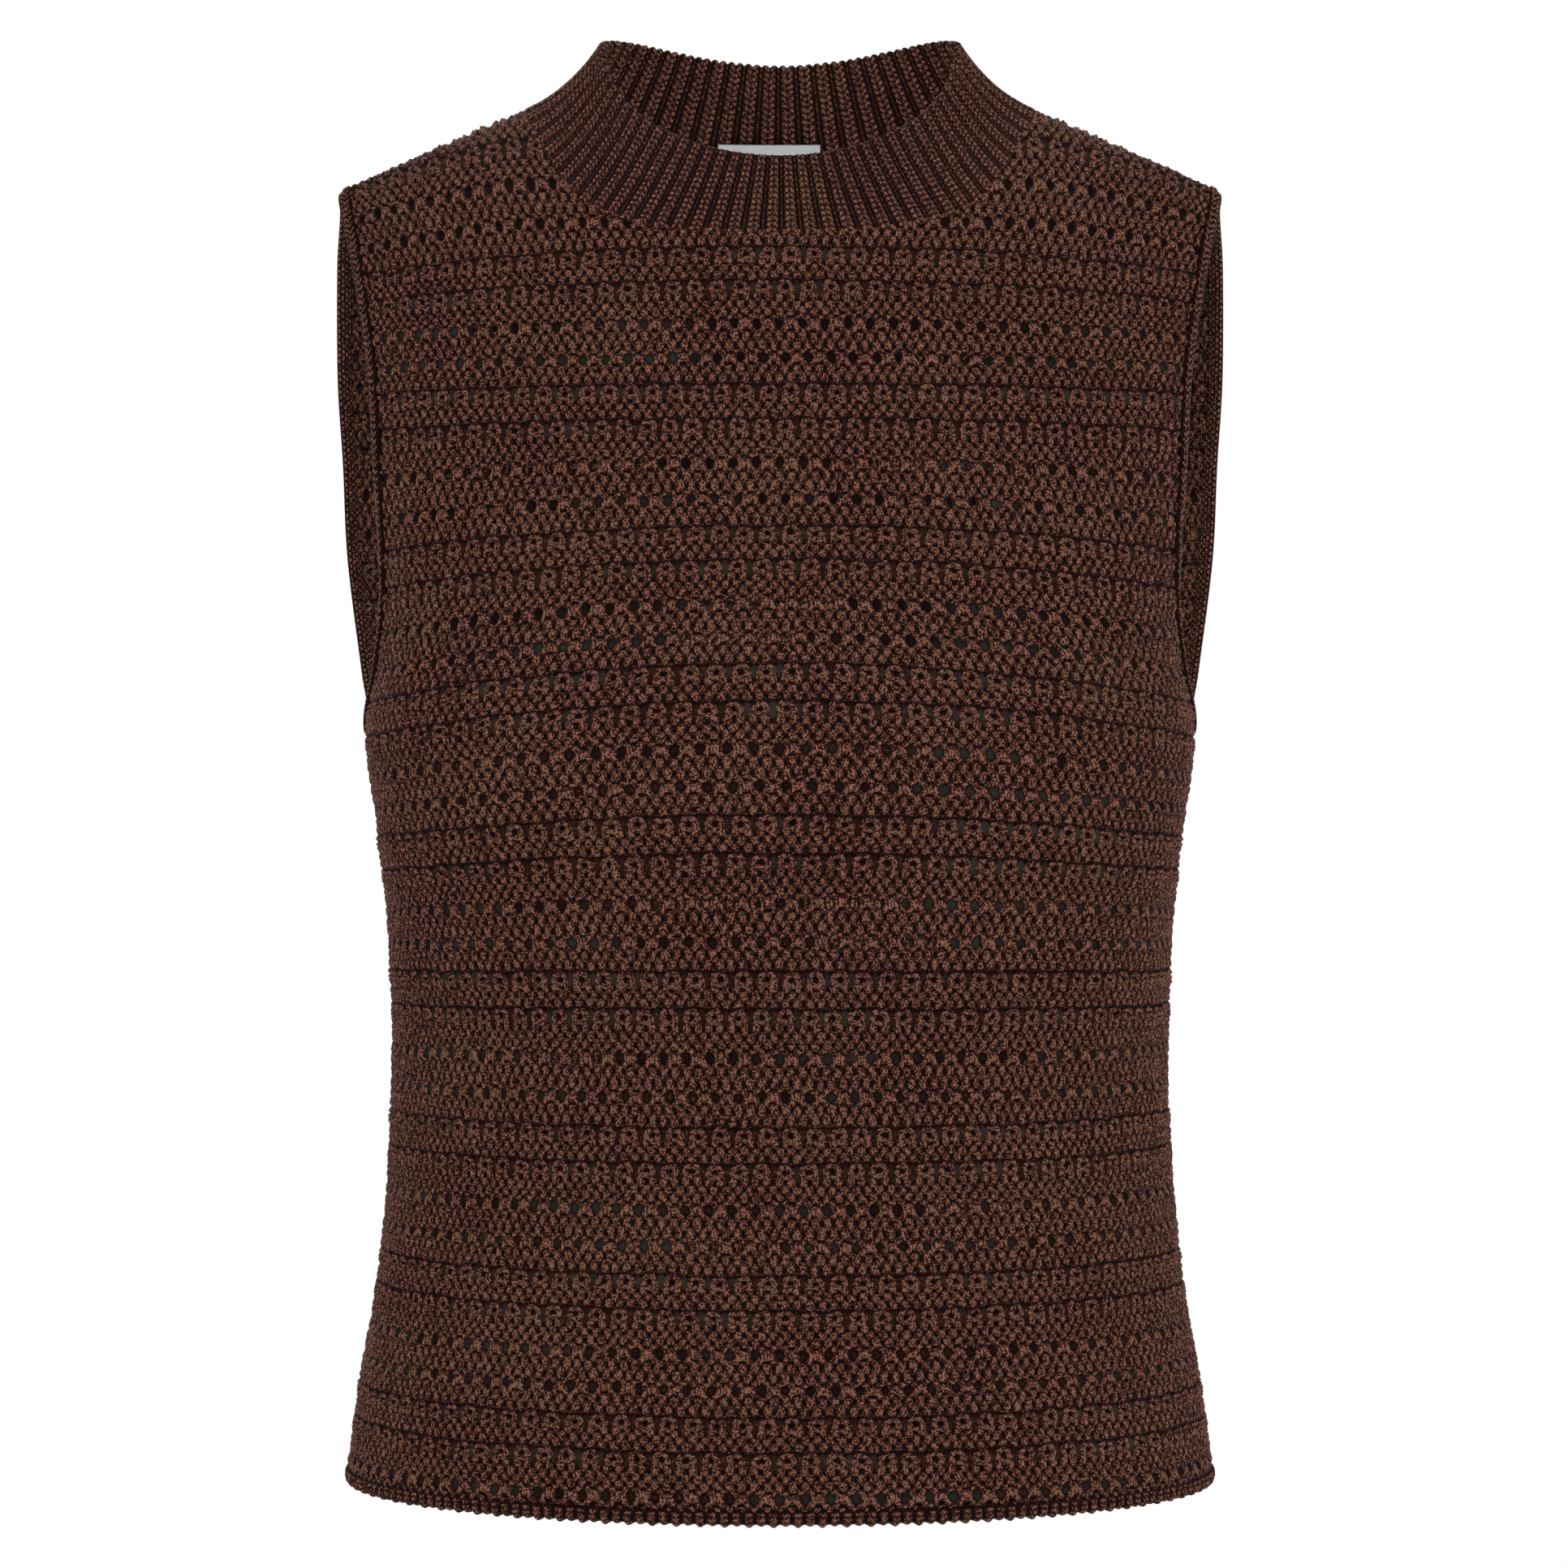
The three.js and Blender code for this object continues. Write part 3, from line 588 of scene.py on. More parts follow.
def yoke_paths(face, u):
    """For each wale above the first course: its share of the way to the edge, its heights
    going up, the length of cloth to each of them, where slopes count less, and how tall
    its courses are. Beside the neck these are as tall as at the neck end of the shoulder,
    and the collar cuts them short."""
    first = middle_z(0)
    width = stitch_width(face, first)
    x, length = level_row(face, first)
    u = np.append(u, np.interp(NECK_HALF_WIDTH + 0.5, x, length) / width)
    x0 = np.sign(u) * np.interp(np.abs(u) * width, length, x)
    share = x0 / panel_edge(face, first)
    low = course_z(face, 0, x0)
    bottom, top = low.copy(), np.full_like(low, 2.0)
    for _ in range(30):
        middle = (bottom + top) / 2
        inside = middle < neck_line(face, share * panel_edge(face, middle))
        bottom, top = np.where(inside, middle, bottom), np.where(inside, top, middle)
    way = 1 - (1 - np.linspace(0, 1, 140)[:, None]) ** 2
    z = low + (bottom - low) * way
    y = cloth_depth(face, share * panel_edge(face, z), z)
    steps = np.hypot(np.diff(z, axis=0), 0.6 * np.diff(y, axis=0))
    length = np.concatenate([np.zeros((1, len(u))), np.cumsum(steps, axis=0)])
    wanted = np.interp(np.abs(x0), *zip(*SHOULDER_COURSES))
    tall = np.where(np.abs(x0) > NECK_HALF_WIDTH, length[-1] / wanted, length[-1, -1] / wanted[-1])
    blend = ease((np.abs(x0) - 40) / (NECK_HALF_WIDTH - 40))
    tall = NECK_COURSE_TALL + (tall - NECK_COURSE_TALL) * blend
    return share[:-1], z[:, :-1], length[:, :-1], tall[:-1]


def wale_places(face, wales, z):
    """For wales each at its own height: the share of the way to the panel's edge, the
    number of stitches from the middle to the edge, and the width of a stitch in mm."""
    first = math.floor(z.min() / LEVEL_STEP)
    levels = LEVEL_STEP * np.arange(first, math.floor(z.max() / LEVEL_STEP) + 2)
    found = []
    for level in levels:
        along, length = level_row(face, level)
        width = stitch_width(face, level)
        share = np.interp(np.abs(wales) * width, length, along) / along[-1]
        found.append([share, np.full_like(share, length[-1] / width), np.full_like(share, width)])
    found, below = np.array(found), np.floor(z / LEVEL_STEP).astype(int) - first
    part, wale = (z / LEVEL_STEP - below - first)[:, None], np.arange(len(wales))
    return (found[below, :, wale] * (1 - part) + found[below + 1, :, wale] * part).T


def panel_places(face, rows, wales):
    """Places of a grid of stitches: x, z, the clamped counts u and v, and the distances in
    mm from the armhole or side edge and from the top edge."""
    share, path_z, path_length, course_tall = yoke_paths(face, wales)
    names = ("x", "z", "u", "v", "aside", "down")
    found = {name: np.zeros((len(rows), len(wales))) for name in names}
    for k, v in enumerate(rows):
        if v < 0:
            wanted = -repeats_down(v) * REPEAT_COURSES * course_tall
            reached = np.minimum(wanted, path_length[-1])
            paths = zip(reached, path_length.T, path_z.T)
            z = np.array([np.interp(goal, length, heights) for goal, length, heights in paths])
            x = share * panel_edge(face, z)
            count = courses_down(-reached / (REPEAT_COURSES * course_tall))
            down = path_length[-1] - reached
            width = stitch_width(face, middle_z(0))
            edge = level_row(face, middle_z(0))[1][-1] / width
        else:
            z = np.full_like(wales, middle_z(v))
            for _ in range(3):
                nearness, edge, width = wale_places(face, wales, z)
                x = np.sign(wales) * nearness * panel_edge(face, z)
                z = course_z(face, v, x)
            x = np.sign(wales) * nearness * panel_edge(face, z)
            count = np.full_like(x, v)
            down = path_length[-1] + (course_z(face, 0, x) - z)
        found["x"][k], found["z"][k], found["v"][k], found["down"][k] = x, z, count, down
        found["u"][k] = np.clip(wales, -edge, edge)
        found["aside"][k] = (edge - np.abs(found["u"][k])) * width
    return found


sample = panel_places(FRONT, np.array([-8.0, 0, 36]), np.array([0.0, 20, 50]))
print("edge of the front by course:", sample["x"][:, 2].round(1), sample["z"][:, 2].round(1))

# %% [markdown]
# ## What hand and wear add
#
# Knitting is never quite even. Each stitch sits a little off its place and stands a little
# proud or low, and the filled-out cloth has a few soft troughs and ridges where it turns
# under the arms, at the waist and over the hem. The unevenness comes from seeded numbers,
# one for each stitch, blended smoothly. The folds are listed in a table, each with
# its own length, width and depth. They reach 2 mm at most, because the top is stretched
# smooth.

# %% Unevenness and folds
def patchwork(seed, u, v):
    """Smooth unevenness from -1 to 1, one random number for each whole u and v."""
    grid = np.random.default_rng(seed).uniform(-1, 1, (160, 160))
    i, j = np.floor(u).astype(int), np.floor(v).astype(int)
    a, b = u - i, v - j
    a, b = a * a * (3 - 2 * a), b * b * (3 - 2 * b)
    near = grid[i % 160, j % 160] * (1 - a) + grid[(i + 1) % 160, j % 160] * a
    far = grid[i % 160, (j + 1) % 160] * (1 - a) + grid[(i + 1) % 160, (j + 1) % 160] * a
    return near * (1 - b) + far * b


FOLD_COLUMNS = ("x", "z", "lean", "length", "width", "height")
FOLDS = {
    FRONT: [
        (-128, -262, 32, 46, 11, -1.5),
        (-112, -283, 24, 34, 9, 1.0),
        (131, -270, -36, 40, 12, -1.3),
        (118, -296, -22, 52, 10, 0.9),
        (-96, -356, 8, 60, 15, -1.1),
        (70, -384, -5, 74, 17, -1.3),
        (-20, -430, 3, 48, 14, 0.8),
        (108, -432, -14, 44, 12, 0.9),
        (-60, -500, 86, 30, 16, -1.2),
        (46, -508, 94, 26, 18, 1.3),
        (-118, -150, 74, 42, 10, -0.8),
        (120, -142, 106, 36, 11, -0.9),
        (0, -205, 2, 40, 13, -0.6),
    ],
    BACK: [
        (-120, -268, 28, 50, 12, -1.6),
        (116, -280, -31, 44, 11, -1.3),
        (-40, -352, 6, 70, 16, -1.5),
        (52, -378, -8, 62, 15, 1.1),
        (6, -404, 2, 54, 13, -1.2),
        (-84, -430, 12, 40, 12, 0.9),
        (30, -506, 88, 28, 17, -1.2),
        (-70, -498, 97, 32, 15, 1.2),
        (0, -120, 90, 60, 18, -0.9),
    ],
}


def fold_height(face, x, z):
    """How far the folds lift the cloth, in mm."""
    height = np.zeros_like(x)
    for row in FOLDS[face]:
        fold = dict(zip(FOLD_COLUMNS, row))
        lean = math.radians(fold["lean"])
        dx, dz = x - fold["x"], z - fold["z"]
        along = (dx * math.cos(lean) + dz * math.sin(lean)) / fold["length"]
        across = (dz * math.cos(lean) - dx * math.sin(lean)) / fold["width"]
        height += fold["height"] * np.exp(-(along**2) - across**2)
    return height


print(sum(len(rows) for rows in FOLDS.values()), "folds")

# %% [markdown]
# ## Panels as one sheet of stitches
#
# A displacement map could raise the stitches on a plain wall, but it would not follow the
# wales as they fan out, and it could not open the eyelets. So the grid itself is laid
# along the stitches: four points to a stitch sideways and as many rows to a course as its
# shape needs. Each point is moved out of the cloth by the yarn's height. Where an eyelet
# is open, its faces are left out and the points beside it are drawn apart. The cloth runs
# on under the collar, the trims and the hem, where the yarn flattens.

# %% Rows of the grid and the eyelets
WALE_STEP = 0.25
HOLE_LEVELS = (0.1, 0.28, 0.5, 0.72, 0.9)
HOLE_HALF_WIDTHS = (0.1, 0.27, 0.33, 0.27, 0.1)
HOLE_SHUT, HOLE_WIDER = 0.45, 0.75
COURSE_LEVELS = {
    "arch": np.arange(8) / 8,
    "eyelet": np.array((0,) + HOLE_LEVELS),
    "purl": np.arange(4) / 4,
}
BACK_PURL_LEVELS = np.arange(3) / 3
TOP_COURSE = -24


def grid_rows(face, first, last):
    """Counts v of the grid's rows from one course to another."""
    rows = []
    for course in range(first, math.ceil(last)):
        kind = COURSE_SHARES[course % REPEAT_COURSES][0]
        levels = COURSE_LEVELS[kind]
        if face == BACK and kind == "purl":
            levels = BACK_PURL_LEVELS
        rows += [course + float(b) for b in levels if course + b < last]
    return np.array(rows + [last])


OPEN_COLUMNS = ("course", "first", "last", "gape")
OPEN_EYELETS = {
    FRONT: [
        (6, -30, -16, 0.5), (9, 12, 27, 0.5), (18, -33, -12, 0.75), (18, 6, 31, 0.7),
        (21, -28, -21, 0.5), (21, 9, 17, 0.55), (30, -7, 5, 1.0), (33, -9, 2, 0.85),
        (42, 17, 26, 0.45), (54, -11, 10, 0.7), (57, 3, 13, 0.55), (66, -22, -13, 0.5),
        (78, 9, 20, 0.45), (81, -8, -1, 0.5),
    ],
    BACK: [(42, -34, -29, 0.5), (69, 27, 33, 0.5)],
}
OPEN_FROM, OPEN_UNEVEN = 0.4, 0.35


def open_share(face, u, course):
    """How far the eyelet at u is open, from 0 to 1: here and there they gape."""
    gape = np.zeros_like(u)
    for row in OPEN_EYELETS[face]:
        stretch = dict(zip(OPEN_COLUMNS, row))
        if stretch["course"] == course:
            inside = (u >= stretch["first"]) & (u <= stretch["last"])
            gape = np.where(inside, stretch["gape"], gape)
    own = patchwork(13, u + 60, np.full_like(u, course + 30.0))
    return np.clip(gape * (1 + OPEN_UNEVEN * own), 0, 1)


def draw_apart(face, row, wales):
    """Wales of a row, moved sideways where it crosses an eyelet, and a mark on the middle
    of each open one."""
    course = int(math.floor(row + 1e-9))
    kind = COURSE_SHARES[course % REPEAT_COURSES][0]
    level = row - course
    moved, opened = wales.copy(), np.zeros(len(wales), bool)
    if kind != "eyelet" or level < HOLE_LEVELS[0] - 1e-6:
        return moved, opened
    half = HOLE_HALF_WIDTHS[int(np.argmin(np.abs(np.array(HOLE_LEVELS) - level)))]
    offset = 0.5 if course % REPEAT_COURSES == 9 else 0
    middle = 2 * np.round((wales - offset) / 2) + offset
    gape = open_share(face, middle, course)
    beside = np.isclose(np.abs(wales - middle), WALE_STEP)
    wide = half * (HOLE_SHUT + HOLE_WIDER * gape)
    moved[beside] = (middle + np.sign(wales - middle) * wide)[beside]
    opened = np.isclose(wales, middle) & (gape > OPEN_FROM)
    return moved, opened


print("rows in the first twelve courses:", len(grid_rows(FRONT, 0, 12)))

# %% Cloth points
STRAY = 0.55
UNEVEN = 0.15
EDGE_FADE, SEAM_FADE = 2.5, 1.2
EDGE_LOW = -0.6
SEEDS = {FRONT: 21, BACK: 31}


def cloth_points(face, rows):
    """Points of a panel's sheet, their stitch counts, and marks on open eyelets."""
    reach = SIDE_STITCHES[face] + 2 * WALE_STEP
    wales = np.arange(-reach, reach + WALE_STEP / 2, WALE_STEP)
    wales = np.clip(wales, -SIDE_STITCHES[face], SIDE_STITCHES[face])
    opened = []
    plain = panel_places(face, rows, wales)
    for k, row in enumerate(rows):
        moved, holes = draw_apart(face, row, wales)
        opened.append(holes)
        rising = np.maximum.accumulate(wales + 1e-9 * np.arange(len(wales)))
        width = np.gradient(plain["x"][k], rising)
        plain["x"][k] += np.where(np.abs(moved - wales) > 1e-6, (moved - wales) * width, 0)
    x, z, u, v = (plain[name] for name in ("x", "z", "u", "v"))
    seed = SEEDS[face]
    fade = ease(plain["aside"] / SEAM_FADE) * ease(plain["down"] / EDGE_FADE)
    fade = fade * ease((z - middle_z(BODY_END)) / EDGE_FADE)
    seen_flat = np.abs(np.gradient(x, axis=1)) / (WALE_STEP * CHEST_STITCH)
    x = x + STRAY * fade * np.clip(seen_flat, 0, 1) * patchwork(seed, u + 60, v + 40)
    level = z
    z = z + STRAY * fade * ease(plain["down"] / 12) * patchwork(seed + 1, u + 60, v + 40)
    x = x * half_curve(face, z)[0] / half_curve(face, level)[0]
    relief = yarn(u, v - 1e-6)[0]
    relief = YARN_LOW + (relief - YARN_LOW) * (1 + UNEVEN * patchwork(seed + 2, u + 60, v + 40))
    relief = EDGE_LOW + (relief - EDGE_LOW) * fade + fold_height(face, x, z) * fade
    y = cloth_depth(face, x, z)
    points = np.stack([x, y, z], axis=-1) + outward(face, x, z) * relief[..., None]
    return points, np.stack([u, v], axis=-1), np.array(opened)


# %% A mesh from a grid of points
def make_object(name, mesh):
    piece = bpy.data.objects.new(name, mesh)
    bpy.context.scene.collection.objects.link(piece)
    return piece


def mesh_from_grid(name, points, counts, left_out=None, flip=False):
    """A smooth mesh of quads from a grid of points in mm. Points at one place are merged,
    and faces with no area are dropped. counts becomes its UV map."""
    rows, columns = points.shape[:2]
    flat = points.reshape(-1, 3) * MM
    keys = np.round(flat / 1e-6).astype(np.int64)
    _, kept, place = np.unique(keys, axis=0, return_index=True, return_inverse=True)
    place = place.reshape(rows, columns)
    a, b = place[:-1, :-1], place[:-1, 1:]
    d, c = place[1:, :-1], place[1:, 1:]
    quads = np.stack([a, d, c, b] if flip else [a, b, c, d], axis=-1)
    if left_out is not None:
        quads = quads[~left_out]
    faces = []
    for quad in quads.reshape(-1, 4).tolist():
        face = [corner for k, corner in enumerate(quad) if corner != quad[k - 1]]
        if len(face) > 2 and len(set(face)) == len(face):
            faces.append(face)
    mesh = bpy.data.meshes.new(name)
    mesh.from_pydata(flat[kept], [], faces)
    corners = np.zeros(len(mesh.loops), int)
    mesh.loops.foreach_get("vertex_index", corners)
    layer = mesh.uv_layers.new(name="stitches")
    at_corners = counts.reshape(-1, 2)[kept][corners]
    layer.uv.foreach_set("vector", at_corners.astype(np.float32).ravel())
    mesh.shade_smooth()
    return make_object(name, mesh)


def triangles(piece):
    return sum(len(p.vertices) - 2 for p in piece.data.polygons)


def area_of(piece):
    return sum(p.area for p in piece.data.polygons)


# %% Front and back
PANEL_PARTS = (("yoke", TOP_COURSE, 24), ("middle", 24, 60), ("skirt", 60, BODY_END))


def knit_panel(face):
    """The panel in three pieces, which meet in the deep groove over a row of arches."""
    made = []
    for part, first, last in PANEL_PARTS:
        points, counts, opened = cloth_points(face, grid_rows(face, first, last))
        hole = opened[:-1] & opened[1:]
        left_out = hole[:, :-1] | hole[:, 1:]
        made.append(mesh_from_grid(f"{face}_{part}", points, counts, left_out, flip=face == BACK))
        print(made[-1].name, triangles(made[-1]), "triangles,", round(area_of(made[-1]), 4), "m2")
    return made


front_pieces = knit_panel(FRONT)
back_pieces = knit_panel(BACK)

# %% [markdown]
# ## Brown cord
#
# The yarn is a firm cord of a few dark brown plies with a faint gloss. Between the cords
# the cloth is almost black, in shade. One brown for all of it would look like rubber, so
# painted light follows the same pattern as the mesh: painted shade in the gaps, mid brown on
# the flanks, a painted highlight on top. Fine slanted stripes stand for the plies, and small
# flecks for their fibres and for painted glints of their gloss. In the slits and eyelets a
# grey-green is painted for the shaded inside seen through, with faint glints. The plies
# also go into the bump, which is too fine for the mesh.

# %% Knit finish
# Painted light: these browns run from painted shade in the gaps, through half shade on the flanks,
# to painted highlights on the tops, warm or olive in random clouds.
GAP_SHADE_BROWN = colour(12, 3, 2)
SIDE_HALF_SHADE_BROWN = colour(50, 25, 19)
TOP_HIGHLIGHT_BROWN = colour(137, 89, 77)
OLIVE_HIGHLIGHT_BROWN = colour(127, 93, 71)
# a grey-green painted for the shaded inside seen through the slits and eyelets, with faint glints
THROUGH_SHADE_GREY = colour(44, 50, 45)
PLY_WIDE, PLY_LONG = 1.15, 2.6
STREAK_ALONG, STREAK_ACROSS = 0.7, 1.9
FLECK_SCALE, WAVER_SCALE, CLOUD_SCALE, THROUGH_SHADE_SCALE = 1300, 420, 24, 19
FIBRE_WAVER = 0.7
GRAIN, GRAIN_PLIES, GRAIN_FIBRES = 0.8, 0.22, 1.4
LIT_FROM, LIT_CLOUDS = 0.06, 0.2
OLIVE_SHARE, OLIVE_CLOUDS = 0.35, 1.8
THROUGH_SHADE_STEEP, THROUGH_SHADE_FROM = 5, 2.5
GLOSS, ROUGH, ROUGH_PLIES = 0.05, 0.62, 0.12
PATTERN_BUMP, PLY_BUMP, FIBRE_BUMP = 0.4, 0.2, 0.35


def second(wire):
    """The second output of the node that a wire comes from."""
    return Wire(wire.finish, wire.socket.node.outputs[1])


def yarn_finish(name, look, waver, fleck_and_glint_strength=3.6):
    """A brown yarn finish, with painted shade in the gaps and a painted highlight on the tops.
    look turns the counts of a piece's UV map into the relief in mm, the height from 0 to 1,
    which sets the painted shade and highlight, the ways along and across the cord in mm, and
    the mask where a grey-green is painted for the shaded inside seen through the slits and
    eyelets. waver is how far the stitches stray, in counts, and fleck_and_glint_strength how
    strong the speckle of fibres and their painted glints is."""
    finish = Finish(name)
    counts = finish.add("ShaderNodeUVMap", {"uv_map": "stitches"})
    split = finish.add("ShaderNodeSeparateXYZ", None, {0: counts})
    astray = finish.add("ShaderNodeSeparateXYZ", None, {0: second(finish.noise(WAVER_SCALE, 1))})
    u = split + (astray - 0.5) * waver
    v = second(split) + (second(astray) - 0.5) * waver
    relief, height, along, across, through_shade_mask = look(u, v)
    streaks = {0: along * STREAK_ALONG, 1: across * STREAK_ACROSS}
    on_cord = finish.add("ShaderNodeCombineXYZ", None, streaks)
    fibres = finish.noise(1, 2, on_cord) - 0.5
    # flecks of the fibres' own lighter and darker tone, which on the lit tops are also painted
    # glints of their gloss
    fibre_flecks_and_glints = finish.noise(FLECK_SCALE, 1) - 0.5
    clouds = finish.noise(CLOUD_SCALE, 2) - 0.5
    plies = calc("COSINE", (across / PLY_WIDE + along / PLY_LONG + fibres * FIBRE_WAVER) * TURN)
    grain = GRAIN + GRAIN_PLIES * plies + fibres * GRAIN_FIBRES + fibre_flecks_and_glints * fleck_and_glint_strength
    # painted light: by the yarn's height, painted shade in the gaps, half shade on the flanks and
    # a painted highlight on the tops, with random clouds of tone
    lit = height * grain - LIT_FROM + clouds * LIT_CLOUDS
    low = finish.mix(lit * 2, GAP_SHADE_BROWN, SIDE_HALF_SHADE_BROWN)
    top = finish.mix(OLIVE_SHARE + clouds * OLIVE_CLOUDS, TOP_HIGHLIGHT_BROWN, OLIVE_HIGHLIGHT_BROWN)
    brown = finish.mix(lit * 2 - 1, low, top)
    # painted shade and glints seen through: the grey-green in random patches over the low slits
    # and eyelets
    through_shade_patches = clamped(finish.noise(THROUGH_SHADE_SCALE, 1) * THROUGH_SHADE_STEEP - THROUGH_SHADE_FROM)
    shade = finish.mix(through_shade_mask * through_shade_patches * (1 - height), brown, THROUGH_SHADE_GREY)
    bumps = relief * PATTERN_BUMP + height * (plies * PLY_BUMP + fibre_flecks_and_glints * 2 * FIBRE_BUMP)
    normal = finish.add("ShaderNodeBump", None, {"Strength": 1.0, "Distance": MM, "Height": bumps})
    rough = ROUGH - ROUGH_PLIES * plies
    finish.join(finish.surface, {"Base Color": shade, "Roughness": rough, "Normal": normal})
    finish.surface.inputs["Specular IOR Level"].default_value = GLOSS
    return finish.material


body_yarn = yarn_finish("knit_brown", yarn, 0.2)
print("nodes in the knit finish:", len(body_yarn.node_tree.nodes))

# %% [markdown]
# ## The collar
#
# The mock neck is one band of ribs that stands up from the neck seam and folds its own
# edge over into a round rim. Each rib is a plait of slanted bumps beside a narrow cord,
# and the ribs fan out from the rim to the seam. It could be a flat strip bent round, but
# the neckline is high at the nape and low in front, so the band is spun from sections
# instead: one curve up the outside, over the rim and down the inside at each turn.

# %% Sections of the collar
COLLAR_WALL, SEAM_WALL = 4, 3
COLLAR_AXIS = (0, -4, 0)
CROWN_HIGH = 1.4
FRONT_RIB, BACK_RIB = 6.3, 8.3
RIB_POINTS = 14
OUTSIDE_ROWS, RIM_ROWS, INSIDE_ROWS = 24, 9, 16


def unit(vectors):
    return vectors / np.linalg.norm(vectors, axis=-1, keepdims=True)


def collar_curves(turns):
    """Seam, bend and top points of the collar's curves at turns in degrees from the middle
    of the front, with the directions out of the cloth at the seam and at the top."""
    folded = np.where(turns > 180, 360 - turns, turns)
    side = np.where(turns > 180, -1, 1)
    row = neck_at(folded)
    seam_z = np.minimum(row["seam_z"], ridge_height(row["seam_x"]))
    x = row["seam_x"] * side
    on_front = folded <= 90
    y = np.where(on_front, cloth_depth(FRONT, x, seam_z), cloth_depth(BACK, x, seam_z))
    seam = np.stack([x, y, seam_z], axis=-1)
    top = np.stack([row["top_x"] * side, row["top_y"], row["top_z"]], axis=-1)
    lower = np.minimum(seam_z, ridge_height(x) - 0.5)
    normal = np.where(on_front[:, None], outward(FRONT, x, lower), outward(BACK, x, lower))
    along = np.roll(top, -1, axis=0) - np.roll(top, 1, axis=0)
    out = unit(np.cross(along, top - seam))
    away = (top - np.array(COLLAR_AXIS)) * (1, 1, 0)
    out = np.where((out * away).sum(axis=-1, keepdims=True) < 0, -out, out)
    bend = (seam + top) / 2 - 2 * row["hollow"][:, None] * out
    return seam, bend, top, normal, out


def rib_growth(turns):
    """From 0 where the ribs are narrow, in front, to 1 where they are wide, behind."""
    return ease((np.where(turns > 180, 360 - turns, turns) - 25) / 65)


def rib_turns():
    """Turns of the collar's columns, RIB_POINTS to a rib. The ribs are wider at the back."""
    turns = np.linspace(0, 360, 1441)[:-1]
    seam, bend, top, _, _ = collar_curves(turns)
    middle = (seam + 2 * bend + top) / 4
    steps = np.linalg.norm(np.roll(middle, -1, axis=0) - middle, axis=-1)
    widths = FRONT_RIB + (BACK_RIB - FRONT_RIB) * rib_growth(turns)
    ribs = np.concatenate([[0], np.cumsum(steps / widths)])
    count = round(ribs[-1])
    places = np.arange(count * RIB_POINTS) / RIB_POINTS
    return np.interp(places * ribs[-1] / count, ribs, np.append(turns, 360)), places, count


collar_turns, collar_ribs, rib_count = rib_turns()
print("collar ribs:", rib_count)

# %% The rib's height and the collar's mesh
RIB_STITCH = 2.5
PLAIT_MIDDLE, PLAIT_HALF, PLAIT_HIGH = 0.6, 0.33, 1.06
LEG_AT, LEG_HALF, LEG_END = 0.5, 0.56, 1.06
BEAD_SLANT, BEAD_HOLLOW = 0.6, 0.96
CORD_MIDDLE, CORD_HALF = 0.1, 0.09
CORD_HIGH, CORD_KNOTS = 0.66, 0.12
RIB_LOW, RIB_HIGH, MESH_PLAIT = -1.3, 2.0, 0.85
RIB_UNEVEN, RIB_SEAM_RELIEF = 0.12, -0.2
RIM_HIGH, RIM_SCALLOP, RIM_ROUND, RIM_EVEN_FRONT = 0.35, 1.5, 0.7, 0.2
RIM_MEAN, RIM_SPREAD = 0.7, 0.6


def rib_form(u):
    """The plait's and the cord's heights without their stitches, and the way across the
    plait, where 1 is its side."""
    aside = (calc("FLOORED_MODULO", u, 1) - PLAIT_MIDDLE) / PLAIT_HALF
    reach = calc("ABSOLUTE", aside)
    leg = round_top(calc("MINIMUM", calc("ABSOLUTE", reach - LEG_AT) / LEG_HALF, 1))
    near = calc("PINGPONG", u - CORD_MIDDLE, 0.5) / CORD_HALF
    cord = CORD_HIGH * round_top(calc("MINIMUM", near, 1))
    return leg * calc("LESS_THAN", reach, LEG_END), cord, aside


def rib(u, v):
    """The rib u ribs along and v stitches up, in the terms that yarn gives."""
    plait, cord, aside = rib_form(u)
    reach = calc("ABSOLUTE", aside)
    bead = calc("PINGPONG", v + reach * BEAD_SLANT, 0.5) * 2
    bead = calc("SQRT", calc("MAXIMUM", 1 - BEAD_HOLLOW * bead * bead, 0))
    knots = 1 - CORD_KNOTS + CORD_KNOTS * calc("COSINE", v * TURN)
    height = calc("MAXIMUM", plait * bead * PLAIT_HIGH, cord * knots)
    along = v * RIB_STITCH + reach * 2
    return RIB_LOW + RIB_HIGH * height, height, along, aside * 2, 0


def ring_closed(grid):
    """A grid of points or counts with its first column again after its last."""
    return np.concatenate([grid, grid[:, :1]], axis=1)


def collar_sections(turns):
    """Points, outward directions and heights up the cloth in mm of each curve."""
    seam, bend, top, normal, out = collar_curves(turns)
    points, ways = [], []
    for t in np.linspace(0, 1, OUTSIDE_ROWS):
        place = (1 - t) ** 2 * seam + 2 * t * (1 - t) * bend + t * t * top
        points.append(place)
        ways.append(unit(normal + (out - normal) * min(1.6 * t, 1)))
    up = unit(top - seam)
    rim = top - out * COLLAR_WALL / 2
    for angle in np.linspace(0, math.pi, RIM_ROWS + 2)[1:-1]:
        way = out * math.cos(angle) * COLLAR_WALL / 2 + up * math.sin(angle) * CROWN_HIGH
        points.append(rim + way)
        sideways, upward = math.cos(angle) * CROWN_HIGH, math.sin(angle) * COLLAR_WALL / 2
        ways.append(unit(out * sideways + up * upward))
    for t in np.linspace(1, 0, INSIDE_ROWS):
        outer = int(round(t * (OUTSIDE_ROWS - 1)))
        wall = SEAM_WALL + (COLLAR_WALL - SEAM_WALL) * min(4 * t, 1)
        place = (1 - t) ** 2 * seam + 2 * t * (1 - t) * bend + t * t * top
        points.append(place - ways[outer] * wall)
        ways.append(-ways[outer])
    points, ways = np.array(points), np.array(ways)
    rises = np.linalg.norm(np.diff(points, axis=0), axis=-1)
    return points, ways, np.concatenate([np.zeros((1, len(turns))), np.cumsum(rises, axis=0)])


